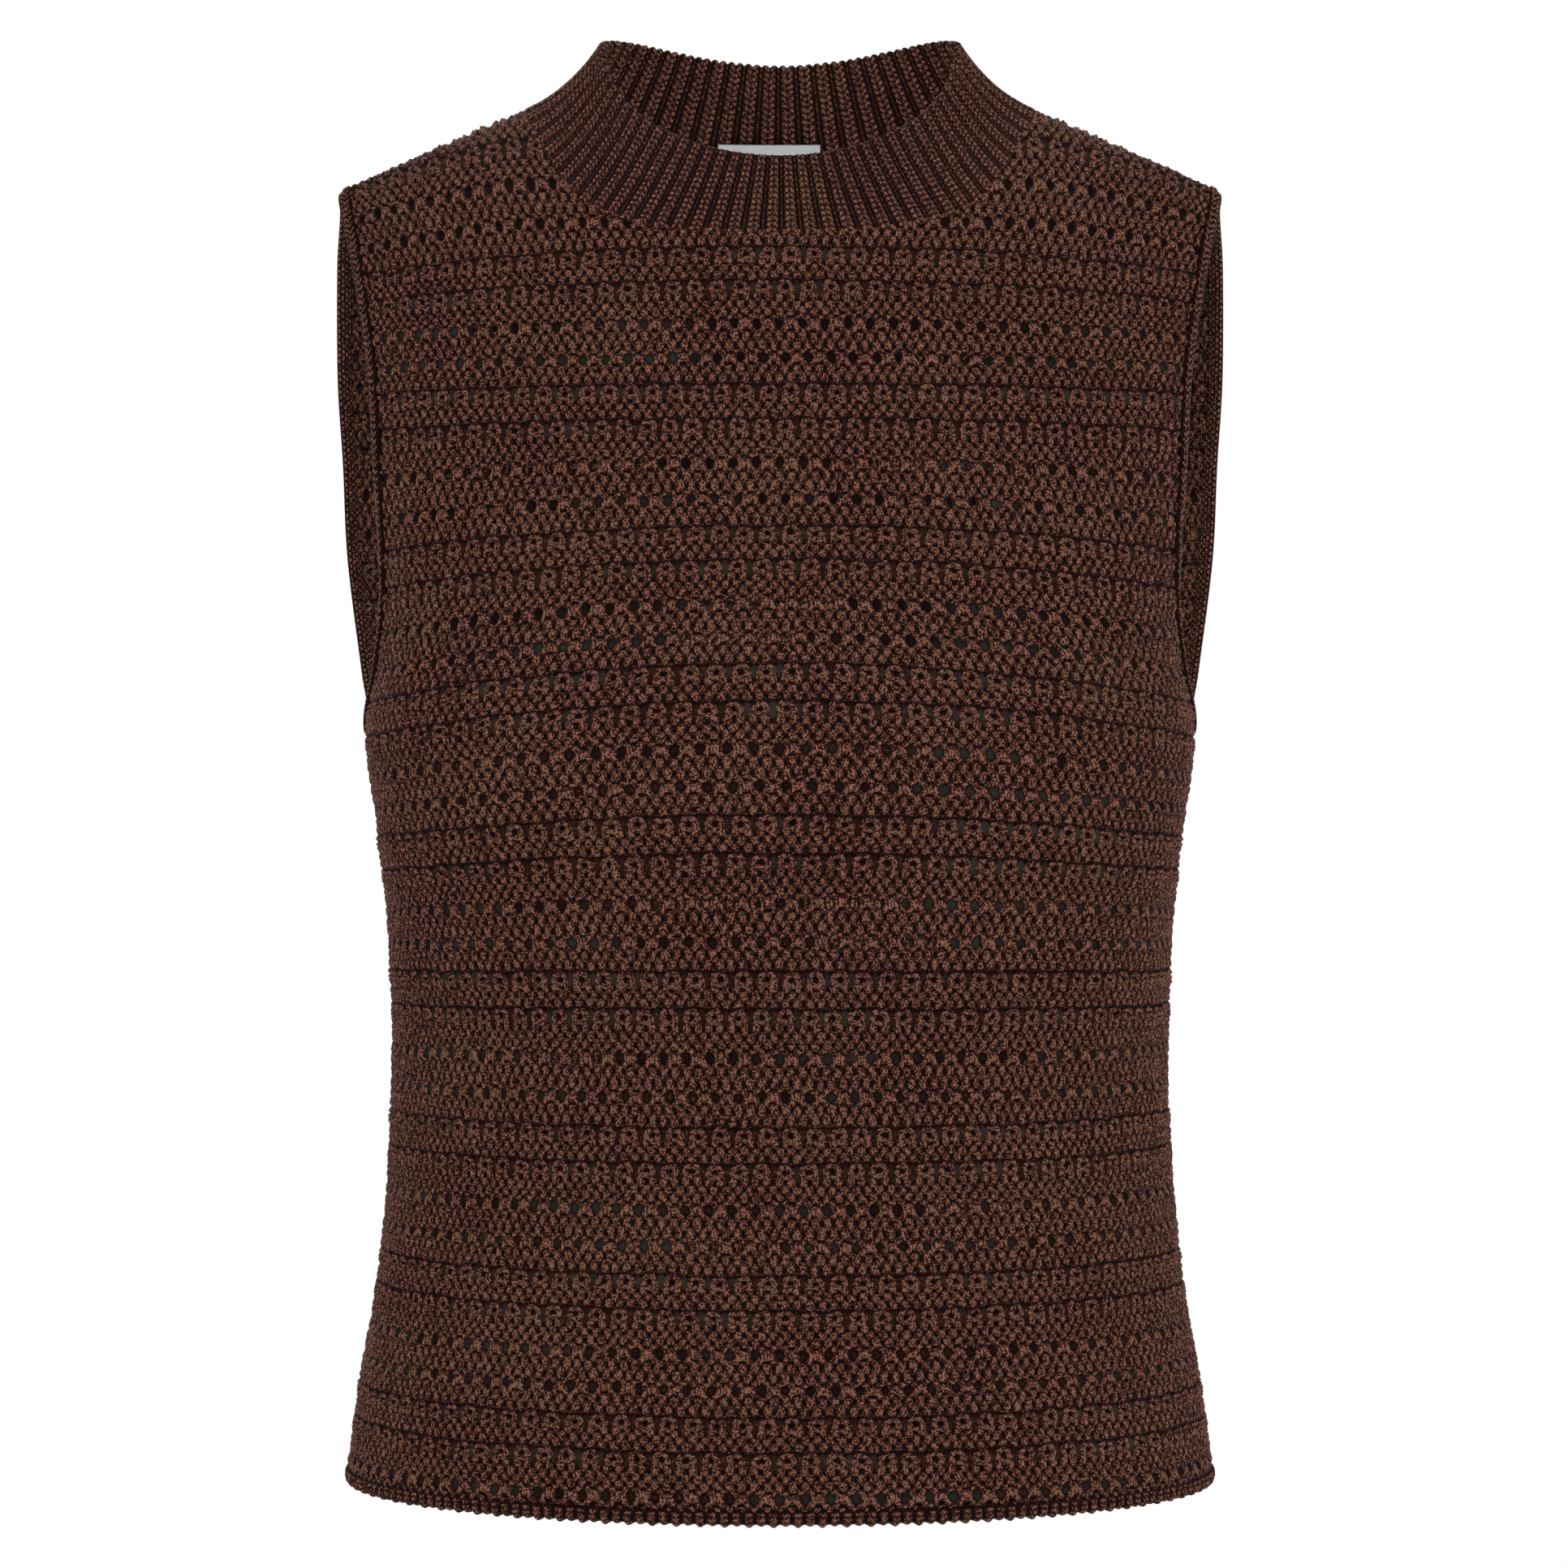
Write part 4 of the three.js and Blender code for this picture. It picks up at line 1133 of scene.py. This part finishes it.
def knit_collar():
    points, ways, rise = collar_sections(collar_turns)
    u = np.broadcast_to(collar_ribs, rise.shape)
    v = rise / RIB_STITCH
    plait, cord, _ = rib_form(u)
    relief = RIB_LOW + RIB_HIGH * np.maximum(MESH_PLAIT * plait, cord)
    from_rim = np.abs(np.arange(len(points)) - OUTSIDE_ROWS - RIM_ROWS / 2 + 0.5)
    at_rim = ease(1 - from_rim / (RIM_SPREAD * RIM_ROWS))[:, None]
    scallops = np.abs(np.sin(TURN * (u - CORD_MIDDLE))) ** RIM_ROUND
    strength = RIM_EVEN_FRONT + (1 - RIM_EVEN_FRONT) * rib_growth(collar_turns)
    rim = RIM_HIGH + RIM_SCALLOP * strength * (scallops - RIM_MEAN)
    relief = relief * (1 - at_rim) + at_rim * rim
    relief = relief * (1 + RIB_UNEVEN * patchwork(41, u, v))
    joined = ease(np.minimum(rise, rise[-1] - rise) / 2)
    relief = RIB_SEAM_RELIEF + (relief - RIB_SEAM_RELIEF) * joined
    points = points + ways * relief[..., None]
    counts = np.stack([u, v], axis=-1)
    points = np.concatenate([points, points[:1]], axis=0)
    counts = np.concatenate([counts, counts[-1:]], axis=0)
    return mesh_from_grid("collar_rib", ring_closed(points), ring_closed(counts), flip=True)


collar_piece = knit_collar()
print("collar:", triangles(collar_piece), "triangles", round(area_of(collar_piece), 4), "m2")

# %% [markdown]
# ## Armhole trims
#
# Each armhole is finished with a narrow band, picked up along the edge of both panels. Its
# outer face shows two fine chains of stitches, side by side. The band is a rounded strip
# swept round the armhole. The chains are real links: Geometry Nodes set one small link
# after another along two curves on the band, each turned to the curve and to the cloth.

# %% The armhole's edge
ARMHOLE_POINTS = 320
ARMHOLE_TOP_GAP = 0.05
ARMHOLE_SMOOTHINGS = 6


def armhole_edge(side):
    """Points round an armhole at even steps, from the shoulder down the front and up the
    back, with the directions out of the cloth and across the band."""
    halves = []
    for face in (FRONT, BACK):
        top = float(ridge_height(panel_edge(face, 0.0))) - ARMHOLE_TOP_GAP
        way = (1 - np.cos(np.linspace(0, 1, 500) * math.pi)) / 2
        z = top - (top - UNDERARM) * way
        x = panel_edge(face, z)
        points = np.stack([x, cloth_depth(face, x, z), z], axis=-1)
        halves.append((points, outward(face, x, z)))
    (front, front_way), (back, back_way) = halves
    points = np.concatenate([front, back[::-1]])
    ways = np.concatenate([front_way, back_way[::-1]])
    length = np.concatenate([[0], np.cumsum(np.linalg.norm(np.diff(points, axis=0), axis=-1))])
    even = np.linspace(0, length[-1], ARMHOLE_POINTS, endpoint=False)
    points = np.stack([np.interp(even, length, points[:, k]) for k in range(3)], axis=-1)
    ways = unit(np.stack([np.interp(even, length, ways[:, k]) for k in range(3)], axis=-1))
    for _ in range(ARMHOLE_SMOOTHINGS):
        ways = unit(np.roll(ways, 1, axis=0) + 2 * ways + np.roll(ways, -1, axis=0))
        points = (np.roll(points, 1, axis=0) + 2 * points + np.roll(points, -1, axis=0)) / 4
    along = unit(np.roll(points, -1, axis=0) - np.roll(points, 1, axis=0))
    across = unit(np.cross(along, ways))
    inward = points.mean(axis=0) - points
    across *= np.sign((across * inward).sum(axis=-1, keepdims=True))
    return points * (side, 1, 1), ways * (side, 1, 1), across * (side, 1, 1), length[-1]


armhole_length = armhole_edge(1)[3]
print("armhole edge:", round(armhole_length), "mm round")

# %% The band
BAND_PROFILE = [  # across the band and proud of it
    (-1.2, -1.6), (-1.2, -0.2), (-0.9, 0.45), (-0.2, 0.8), (0.6, 0.6), (1.2, 0.15), (1.8, 0.5),
    (2.5, 0.85), (3.3, 0.75), (4.1, 0.45), (4.8, -0.1), (5.2, -0.9), (5.2, -1.9), (4.8, -2.8),
    (3.6, -3.3), (2.0, -3.4), (0.4, -3.3), (-0.6, -2.9),
]
BAND_STITCH = 2.6
BAND_GATHER = 0.22


def reaches(profile):
    """A closed profile's points again, each with its length round the profile."""
    reach, before, found = 0, profile[0], []
    for point in profile + profile[:1]:
        reach += math.dist(point, before)
        found.append((*point, reach))
        before = point
    return found


def swept_ring(name, points, ways, across):
    """A band round an edge, drawn in a little between its stitches."""
    steps = np.linalg.norm(np.diff(points, axis=0, append=points[:1]), axis=-1)
    rise, whole = np.concatenate([[0], np.cumsum(steps)[:-1]]), steps.sum()
    rise = rise * round(whole / BAND_STITCH) / whole
    swell = 1 - BAND_GATHER * (0.5 + 0.5 * np.cos(TURN * rise))
    rows, counts = [], []
    for aside, proud, reach in reaches(BAND_PROFILE):
        lift = proud * (swell if proud > 0 else np.ones_like(swell))
        rows.append(points + across * aside + ways * lift[:, None])
        counts.append(np.stack([rise, np.full_like(rise, reach / BAND_STITCH)], axis=-1))
    return mesh_from_grid(name, ring_closed(np.array(rows)), ring_closed(np.array(counts)))


def face_outwards(piece):
    """Turns a closed piece's faces to point out of it."""
    shape = bmesh.new()
    shape.from_mesh(piece.data)
    bmesh.ops.recalc_face_normals(shape, faces=shape.faces)
    shape.to_mesh(piece.data)
    shape.free()


trim_pieces = []
for side, side_name in ((-1, "left"), (1, "right")):
    points, ways, across, _ = armhole_edge(side)
    band = swept_ring(f"trim_{side_name}", points, ways, across)
    face_outwards(band)
    trim_pieces.append(band)
    print(band.name, triangles(band), "triangles")

# %% [markdown]
# ## Hem
#
# The hem is a narrow ribbed band below the last course. Its ribs stand one to a stitch and
# leave a scalloped lower edge. It is swept along the lower edge of each panel, like the
# trims, but open at the side seams, where its ends are capped.

# %% Hem bands
PANEL_LOW = -542.5
HEM_RIB = 4.65
HEM_RIB_POINTS = 6
HEM_PROFILE = [  # down from the panel's edge and proud of it
    (-1.4, -1.8), (-1.2, -1.1), (-0.2, -0.7), (0.7, 0.5), (2.0, 1.2), (4.0, 1.3), (5.7, 0.9),
    (6.8, -0.1), (7.2, -1.4), (6.8, -2.7), (5.4, -3.7), (3.0, -3.8), (0.6, -3.5), (-1.0, -3.0),
]
HEM_VALLEY, HEM_VALLEY_INSIDE, HEM_INSIDE = 1.5, -0.9, -1.6
HEM_SCALLOP, HEM_PAIR_LOW = 0.8, 0.5
HEM_STITCH = 3


def hem_band(face):
    """The hem below one panel. Its ribs are drawn in between on both of its faces, and
    its lower edge is scalloped, every second rib a little lower."""
    along, length = level_row(face, PANEL_LOW)
    ribs = round(2 * length[-1] / HEM_RIB)
    places = np.linspace(-ribs / 2, ribs / 2, ribs * HEM_RIB_POINTS + 1)
    x = np.sign(places) * np.interp(np.abs(places) * 2 * length[-1] / ribs, length, along)
    z = np.full_like(x, PANEL_LOW)
    edge = np.stack([x, cloth_depth(face, x, z), z], axis=-1)
    ways = unit(outward(face, x, z) * (1, 1, 0))
    places = places + 0.5 * (ribs % 2)
    valley = 0.5 - 0.5 * np.cos(TURN * places)
    pairs = HEM_PAIR_LOW * (0.5 - 0.5 * np.cos(TURN / 2 * places))
    rows, counts = [], []
    for down, proud, reach in reaches(HEM_PROFILE):
        deep = HEM_VALLEY if proud > HEM_INSIDE else HEM_VALLEY_INSIDE
        lift = proud - deep * ease((down + 1) / 2) * valley
        drop = down - (HEM_SCALLOP * valley + pairs) * ease((down - 4) / 3)
        rows.append(edge + ways * lift[:, None] - np.array((0, 0, 1)) * drop[:, None])
        counts.append(np.stack([places, np.full_like(places, reach / HEM_STITCH)], axis=-1))
    return mesh_from_grid(f"hem_{face}_band", np.array(rows), np.array(counts))


def cap_ends(piece):
    """Closes the open ends of a swept band."""
    shape = bmesh.new()
    shape.from_mesh(piece.data)
    edges = [edge for edge in shape.edges if edge.is_boundary]
    bmesh.ops.holes_fill(shape, edges=edges)
    bmesh.ops.recalc_face_normals(shape, faces=shape.faces)
    shape.to_mesh(piece.data)
    shape.free()


hem_pieces = [hem_band(FRONT), hem_band(BACK)]
for piece in hem_pieces:
    cap_ends(piece)
    print(piece.name, triangles(piece), "triangles")

# %% [markdown]
# ## Chains on the trims
#
# A chain could be one wavy tube, but real chain stitches overlap like scales, so each leg
# is a drop of cord set at a slant. Geometry Nodes put a copy of one drop on every point of
# a row. Each point carries two directions, out of the cloth and along the row, that turn
# its drop into place. Two rows with opposite slants make one chain.

# %% A tree that sets links on points
CHAIN_INPUTS = (("Length", 3.6), ("Width", 1.5), ("Height", 1.6), ("Slant", 28))
CHAIN_STEP = 3.0
CHAIN_ROWS = (("inner", 0.1, 1), ("outer", 1.3, -1))
CHAIN_PROUD = 0.75
DROP_SEGMENTS, DROP_RINGS = 7, 5
DROP_LIT, DROP_SHADED = 0.75, 0.4
DROP_LONG, DROP_ROUND = 3.3, 3.6


def chain_tree(yarn_material):
    tree = bpy.data.node_groups.new("chain_links", "GeometryNodeTree")
    tree.interface.new_socket("Points", in_out="INPUT", socket_type="NodeSocketGeometry")
    for name, value in CHAIN_INPUTS:
        socket = tree.interface.new_socket(name, in_out="INPUT", socket_type="NodeSocketFloat")
        socket.default_value = value
    tree.interface.new_socket("Links", in_out="OUTPUT", socket_type="NodeSocketGeometry")

    def node(kind, settings=None, sockets=None):
        made = tree.nodes.new(kind)
        for name, value in (settings or {}).items():
            setattr(made, name, value)
        for name, value in (sockets or {}).items():
            if isinstance(value, bpy.types.NodeSocket):
                tree.links.new(value, made.inputs[name])
            else:
                made.inputs[name].default_value = value
        return made.outputs

    given = node("NodeGroupInput")
    drop = node("GeometryNodeMeshUVSphere", None, {
        "Segments": DROP_SEGMENTS, "Rings": DROP_RINGS, "Radius": 0.5,
    })
    mapped = node("GeometryNodeStoreNamedAttribute", {"data_type": "FLOAT2", "domain": "CORNER"}, {
        "Geometry": drop["Mesh"], "Name": "stitches", "Value": drop["UV Map"],
    })
    size = node("ShaderNodeCombineXYZ", None, {
        "X": given["Width"], "Y": given["Height"], "Z": given["Length"],
    })
    in_metres = node("ShaderNodeVectorMath", {"operation": "SCALE"}, {
        0: size["Vector"], "Scale": MM,
    })
    scaled = node("GeometryNodeTransform", None, {
        "Geometry": mapped["Geometry"], "Scale": in_metres["Vector"],
    })
    as_vector = {"data_type": "FLOAT_VECTOR"}
    out = node("GeometryNodeInputNamedAttribute", as_vector, {"Name": "out"})
    along = node("GeometryNodeInputNamedAttribute", as_vector, {"Name": "along"})
    facing = node("FunctionNodeAlignRotationToVector", {"axis": "Y"}, {"Vector": out["Attribute"]})
    turned = node("FunctionNodeAlignRotationToVector", {"axis": "Z", "pivot_axis": "Y"}, {
        "Rotation": facing["Rotation"], "Vector": along["Attribute"],
    })
    slant = node("ShaderNodeMath", {"operation": "RADIANS"}, {0: given["Slant"]})
    tilt = node("ShaderNodeCombineXYZ", None, {"Y": slant["Value"]})
    as_turn = node("FunctionNodeEulerToRotation", None, {"Euler": tilt["Vector"]})
    slanted = node("FunctionNodeRotateRotation", {"rotation_space": "LOCAL"}, {
        "Rotation": turned["Rotation"], "Rotate By": as_turn["Rotation"],
    })
    placed = node("GeometryNodeInstanceOnPoints", None, {
        "Points": given["Points"], "Instance": scaled["Geometry"], "Rotation": slanted["Rotation"],
    })
    real = node("GeometryNodeRealizeInstances", None, {"Geometry": placed["Instances"]})
    smooth = node("GeometryNodeSetShadeSmooth", None, {"Geometry": real["Geometry"]})
    coloured = node("GeometryNodeSetMaterial", None, {
        "Geometry": smooth["Geometry"], "Material": yarn_material,
    })
    node("NodeGroupOutput", None, {"Links": coloured["Geometry"]})
    return tree


def drop_look(u, v):
    """A drop of cord, with painted shade at its sides and its two ends, where it dives into the
    band, and a painted highlight on its outer side, an eighth of a turn round it."""
    outer = calc("COSINE", (u - 0.125) * 2 * TURN)
    # painted light: a highlight on the outer side, shade on the other side and at the ends
    height = round_top(2 * v - 1) * (DROP_LIT + DROP_SHADED * outer)
    return height, height, v * DROP_LONG, u * DROP_ROUND, 0


chain_yarn = yarn_finish("chain_brown", drop_look, 0)
chain_nodes = chain_tree(chain_yarn)
print("chain tree:", len(chain_nodes.nodes), "nodes")

# %% The four rows of links
def links_on(name, points, ways, along, slant):
    """A mesh of links on points in mm, each turned out of the cloth and along the row."""
    mesh = bpy.data.meshes.new(name)
    mesh.from_pydata(points * MM, [], [])
    for label, vectors in (("out", ways), ("along", along)):
        held = mesh.attributes.new(label, "FLOAT_VECTOR", "POINT")
        held.data.foreach_set("vector", vectors.astype(np.float32).ravel())
    rail = make_object(name + "_rail", mesh)
    modifier = rail.modifiers.new("links", "NODES")
    modifier.node_group = chain_nodes
    for item in chain_nodes.interface.items_tree:
        if item.in_out == "INPUT" and item.name == "Slant":
            modifier[item.identifier] = float(slant)
    made = rail.evaluated_get(bpy.context.evaluated_depsgraph_get())
    links = make_object(name, bpy.data.meshes.new_from_object(made))
    rail.modifiers.remove(modifier)
    bpy.data.objects.remove(rail)
    return links


def resampled(rows, count):
    """Closed rows of vectors at count even steps."""
    closed = [np.concatenate([row, row[:1]]) for row in rows]
    steps = np.linalg.norm(np.diff(closed[0], axis=0), axis=-1)
    length = np.concatenate([[0], np.cumsum(steps)])
    even = np.linspace(0, length[-1], count, endpoint=False)
    return [np.stack([np.interp(even, length, axis) for axis in row.T], axis=-1) for row in closed]


chain_slant = dict(CHAIN_INPUTS)["Slant"]
chain_pieces = []
for side, side_name in ((-1, "left"), (1, "right")):
    points, ways, across, length = armhole_edge(side)
    for row_name, place, lean in CHAIN_ROWS:
        rail = points + across * place + ways * CHAIN_PROUD
        rail, out = resampled([rail, ways], round(length / CHAIN_STEP))
        along = unit(np.roll(rail, -1, axis=0) - np.roll(rail, 1, axis=0))
        name = f"chain_{side_name}_{row_name}"
        chain_pieces.append(links_on(name, rail, unit(out), along, lean * side * chain_slant))
        print(name, triangles(chain_pieces[-1]), "triangles")

# %% [markdown]
# ## The neck label
#
# A small woven label is sewn in over the collar seam at the nape and hangs straight down
# inside. It is a thin strip of pale satin, left bare. It is bowed like the collar behind
# it, so a rounded strip of its thickness is swept along that curve.

# %% Label
LABEL_COLUMNS, LABEL_CORNER = 36, 4
LABEL_THICK, LABEL_CLEAR, LABEL_ROUND = 1.0, 0.6, 0.45
NAPE_ROW_X, NAPE_ROW_TURN = 31, 160


def label_profile(low_z, high_z):
    """A rounded strip seen from its end, as heights and distances in front of its back."""
    high, low = high_z - LABEL_ROUND, low_z + LABEL_ROUND
    far = LABEL_THICK - LABEL_ROUND
    corners = [(high, LABEL_ROUND, 180), (high, far, 90), (low, far, 0), (low, LABEL_ROUND, -90)]
    profile = []
    for z, front, start in corners:
        for angle in np.radians(np.linspace(start, start - 90, LABEL_CORNER)):
            rise, step = LABEL_ROUND * math.cos(angle), LABEL_ROUND * math.sin(angle)
            profile.append((z - rise, front + step))
    return profile + profile[:1]


def hanging_label():
    low, high = (np.array(corner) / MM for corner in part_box("neck_label"))
    x = np.linspace(low[0], high[0], LABEL_COLUMNS)
    turns = 180 - (180 - NAPE_ROW_TURN) * np.abs(x) / NAPE_ROW_X
    behind = cloth_depth(BACK, x, neck_at(turns)["seam_z"]) - COLLAR_WALL - LABEL_CLEAR
    rows, counts = [], []
    for z, front in label_profile(low[2], high[2]):
        level = np.full_like(x, z)
        rows.append(np.stack([x, behind - front, level], axis=-1))
        counts.append(np.stack([x, level], axis=-1))
    piece = mesh_from_grid("label_blank", np.array(rows), np.array(counts))
    cap_ends(piece)
    return piece


label_piece = hanging_label()
print("label:", triangles(label_piece), "triangles")

# %% Satin finish
LABEL_PALE, LABEL_SHADE = colour(190, 194, 195), colour(172, 176, 177)
SATIN_TWILL, SATIN_CLOUD_SCALE = 1.6, 90


def satin_finish():
    """Pale satin: fine slanted lines of its twill, with a soft sheen."""
    finish = Finish("label_satin")
    where = finish.add("ShaderNodeTexCoord", out="Object")
    place = finish.add("ShaderNodeSeparateXYZ", None, {0: where})
    x, z = place, Wire(finish, place.socket.node.outputs[2])
    lines = calc("SINE", (x + z) * (TURN * SATIN_TWILL / MM))
    cloud = finish.noise(SATIN_CLOUD_SCALE, 3)
    shade = finish.mix(0.5 + lines * 0.3 + (cloud - 0.5) * 0.6, LABEL_SHADE, LABEL_PALE)
    bumps = {"Strength": 0.6, "Distance": 0.05 * MM, "Height": lines}
    normal = finish.add("ShaderNodeBump", None, bumps)
    finish.join(finish.surface, {"Base Color": shade, "Normal": normal, "Roughness": 0.45})
    return finish.material


satin = satin_finish()
print("satin nodes:", len(satin.node_tree.nodes))

# %% [markdown]
# ## Which yarn goes where
#
# The collar, the trims and the hem share the brown cord with the body, but their stitches
# differ, so each has its own look. The hem's look is a rib with painted shade in the gap on
# each side. The trims' look is a plain row of slanted stitches under the chains.

# %% Looks of the bands
HEM_RIB_HALF, HEM_KNOTS, HEM_KNOTS_TO_STITCH = 0.4, 0.2, 1.3
BAND_BUMP_ROWS, BAND_BUMP_HALF_WIDE, BAND_BUMP_HALF_TALL = 1.4, 0.45, 0.52
CORD_TO_STITCH = 3


def hem_rib(u, v):
    """A hem rib: a bump of cord with painted shade in the gap on each side and where it joins the
    panel.
    """
    near = calc("PINGPONG", u, 0.5) / HEM_RIB_HALF
    knots = 1 - HEM_KNOTS + HEM_KNOTS * calc("COSINE", v * TURN * HEM_KNOTS_TO_STITCH)
    # the gaps between ribs get painted shade, and the last factor paints shade where the hem meets
    # the panel
    height = round_top(calc("MINIMUM", near, 1)) * knots * clamped(v * 2 - 2.1)
    return height, height, v * CORD_TO_STITCH, near * 2, 0


def band_stitch(u, v):
    """A trim's stitches: small bumps set like bricks, with painted shade between them and at the
    seam.
    """
    row = calc("FLOOR", v * BAND_BUMP_ROWS)
    side = calc("PINGPONG", u + row * 0.5, 0.5) / BAND_BUMP_HALF_WIDE
    down = (v * BAND_BUMP_ROWS - row - 0.5) / BAND_BUMP_HALF_TALL
    # painted shade between the bumps and where the trim meets the panel, at the seam
    height = round_bump(side, down) * clamped(v * 1.2 - 1.1)
    return height, height, v * CORD_TO_STITCH, side, 0


rib_yarn = yarn_finish("rib_brown", rib, 0.03, 2.2)
hem_yarn = yarn_finish("hem_brown", hem_rib, 0.1)
band_yarn = yarn_finish("band_brown", band_stitch, 0.1)
for piece, finish in (
    [(piece, body_yarn) for piece in front_pieces + back_pieces]
    + [(collar_piece, rib_yarn), (label_piece, satin)]
    + [(piece, band_yarn) for piece in trim_pieces]
    + [(piece, hem_yarn) for piece in hem_pieces]
):
    piece.data.materials.append(finish)
print("finishes given")

# %% [markdown]
# ## Which body each piece rides on, and its flat size
#
# Every piece rides on the one body of this row and stands for a CAD node, which is hidden.
# The cloth pieces are sheets, and the size each was knitted to before it was sewn up is
# worked out and printed. A panel's size is measured along its plain form, without the
# stitches. The trims and the hem are welts: they are knitted twice as wide as they show and
# folded.

# %% Flat sizes
TRIM_FLAT, HEM_FLAT = 10, 14
RIM_TURN = 3
LABEL_FLAT = (42, 30)


def grid_size(points):
    """Width, length and area of a grid of points in mm, along its rows and columns. The
    columns near its sides are left out of the length, because they follow the armholes."""
    across, down = np.diff(points, axis=1), np.diff(points, axis=0)
    aside = points.shape[1] // 5
    width = np.linalg.norm(across, axis=-1).sum(axis=1).max()
    length = np.linalg.norm(down, axis=-1).sum(axis=0)[aside:-aside].max()
    one = np.cross(across[:-1], down[:, :-1])
    other = np.cross(across[1:], down[:, 1:])
    area = np.linalg.norm(one, axis=-1).sum() / 2 + np.linalg.norm(other, axis=-1).sum() / 2
    return float(width), float(length), float(area)


def panel_flat(face, first, last):
    wales = np.linspace(-SIDE_STITCHES[face], SIDE_STITCHES[face], 401)
    plain = panel_places(face, np.linspace(first, last, 121), wales)
    x, z = plain["x"], plain["z"]
    return grid_size(np.stack([x, cloth_depth(face, x, z), z], axis=-1))


def collar_flat():
    points, _, _ = collar_sections(collar_turns)
    width, length, area = grid_size(ring_closed(points[:OUTSIDE_ROWS]))
    return width, length + RIM_TURN, area + width * RIM_TURN


def declare(piece, width, length, area, hangs_from, with_pieces=()):
    width * MM
    length * MM
    area * MM * MM
    print(f"{piece.name}: {width:.0f} by {length:.0f} mm, {area / 100:.0f} cm2")


# %% Bodies, hidden CAD nodes and flat sizes
node_pairs = (
    [(piece, "front_panel", "body_knit") for piece in front_pieces]
    + [(piece, "back_panel", "body_knit") for piece in back_pieces]
    + [(collar_piece, "collar", "rib_knit"), (label_piece, "neck_label", "label_satin")]
    + [(piece, f"armhole_{piece.name}", "rib_knit") for piece in trim_pieces]
    + [(piece, f"hem_{face}", "rib_knit") for piece, face in zip(hem_pieces, (FRONT, BACK))]
)
for piece, node_name, slot in node_pairs:
    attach(piece, "root")
    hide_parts(node_name)
for piece in chain_pieces:
    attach(piece, "root")

for face, pieces in ((FRONT, front_pieces), (BACK, back_pieces)):
    above = "collar_rib"
    for piece, (_, first, last) in zip(pieces, PANEL_PARTS):
        declare(piece, *panel_flat(face, first, last), [above])
        above = piece.name
declare(collar_piece, *collar_flat(), ["front_yoke", "back_yoke"])
for k, piece in enumerate(trim_pieces):
    size = (armhole_length, TRIM_FLAT, armhole_length * TRIM_FLAT)
    declare(piece, *size, ["front_yoke", "back_yoke"], chain_pieces[2 * k:2 * k + 2])
for face, piece in zip((FRONT, BACK), hem_pieces):
    wide = 2 * float(level_row(face, PANEL_LOW)[1][-1])
    declare(piece, wide, HEM_FLAT, wide * HEM_FLAT, [f"{face}_skirt"])
declare(label_piece, *LABEL_FLAT, LABEL_FLAT[0] * LABEL_FLAT[1], ["collar_rib"])

# %% Floor
FLOOR_HALF = 4000
floor_mesh = bpy.data.meshes.new("floor")
half, low = FLOOR_HALF * MM, FLOOR_Z * MM
corners = [(-half, -half, low), (half, -half, low), (half, half, low), (-half, half, low)]
floor_mesh.from_pydata(corners, [], [(0, 1, 2, 3)])
floor = make_object("floor", floor_mesh)
floor_finish = Finish("pale_floor")
floor_greys = colour(226, 225, 223), colour(234, 233, 231)
floor_shade = floor_finish.mix(floor_finish.noise(3, 3), *floor_greys)
floor_finish.join(floor_finish.surface, {"Base Color": floor_shade, "Roughness": 0.8})
floor_mesh.materials.append(floor_finish.material)
print("floor at", FLOOR_Z, "mm")

# %% Sizes and finish
knitted = [piece for piece, _, _ in node_pairs] + chain_pieces
print("triangles in all:", sum(triangles(piece) for piece in knitted))
bpy.context.view_layer.update()
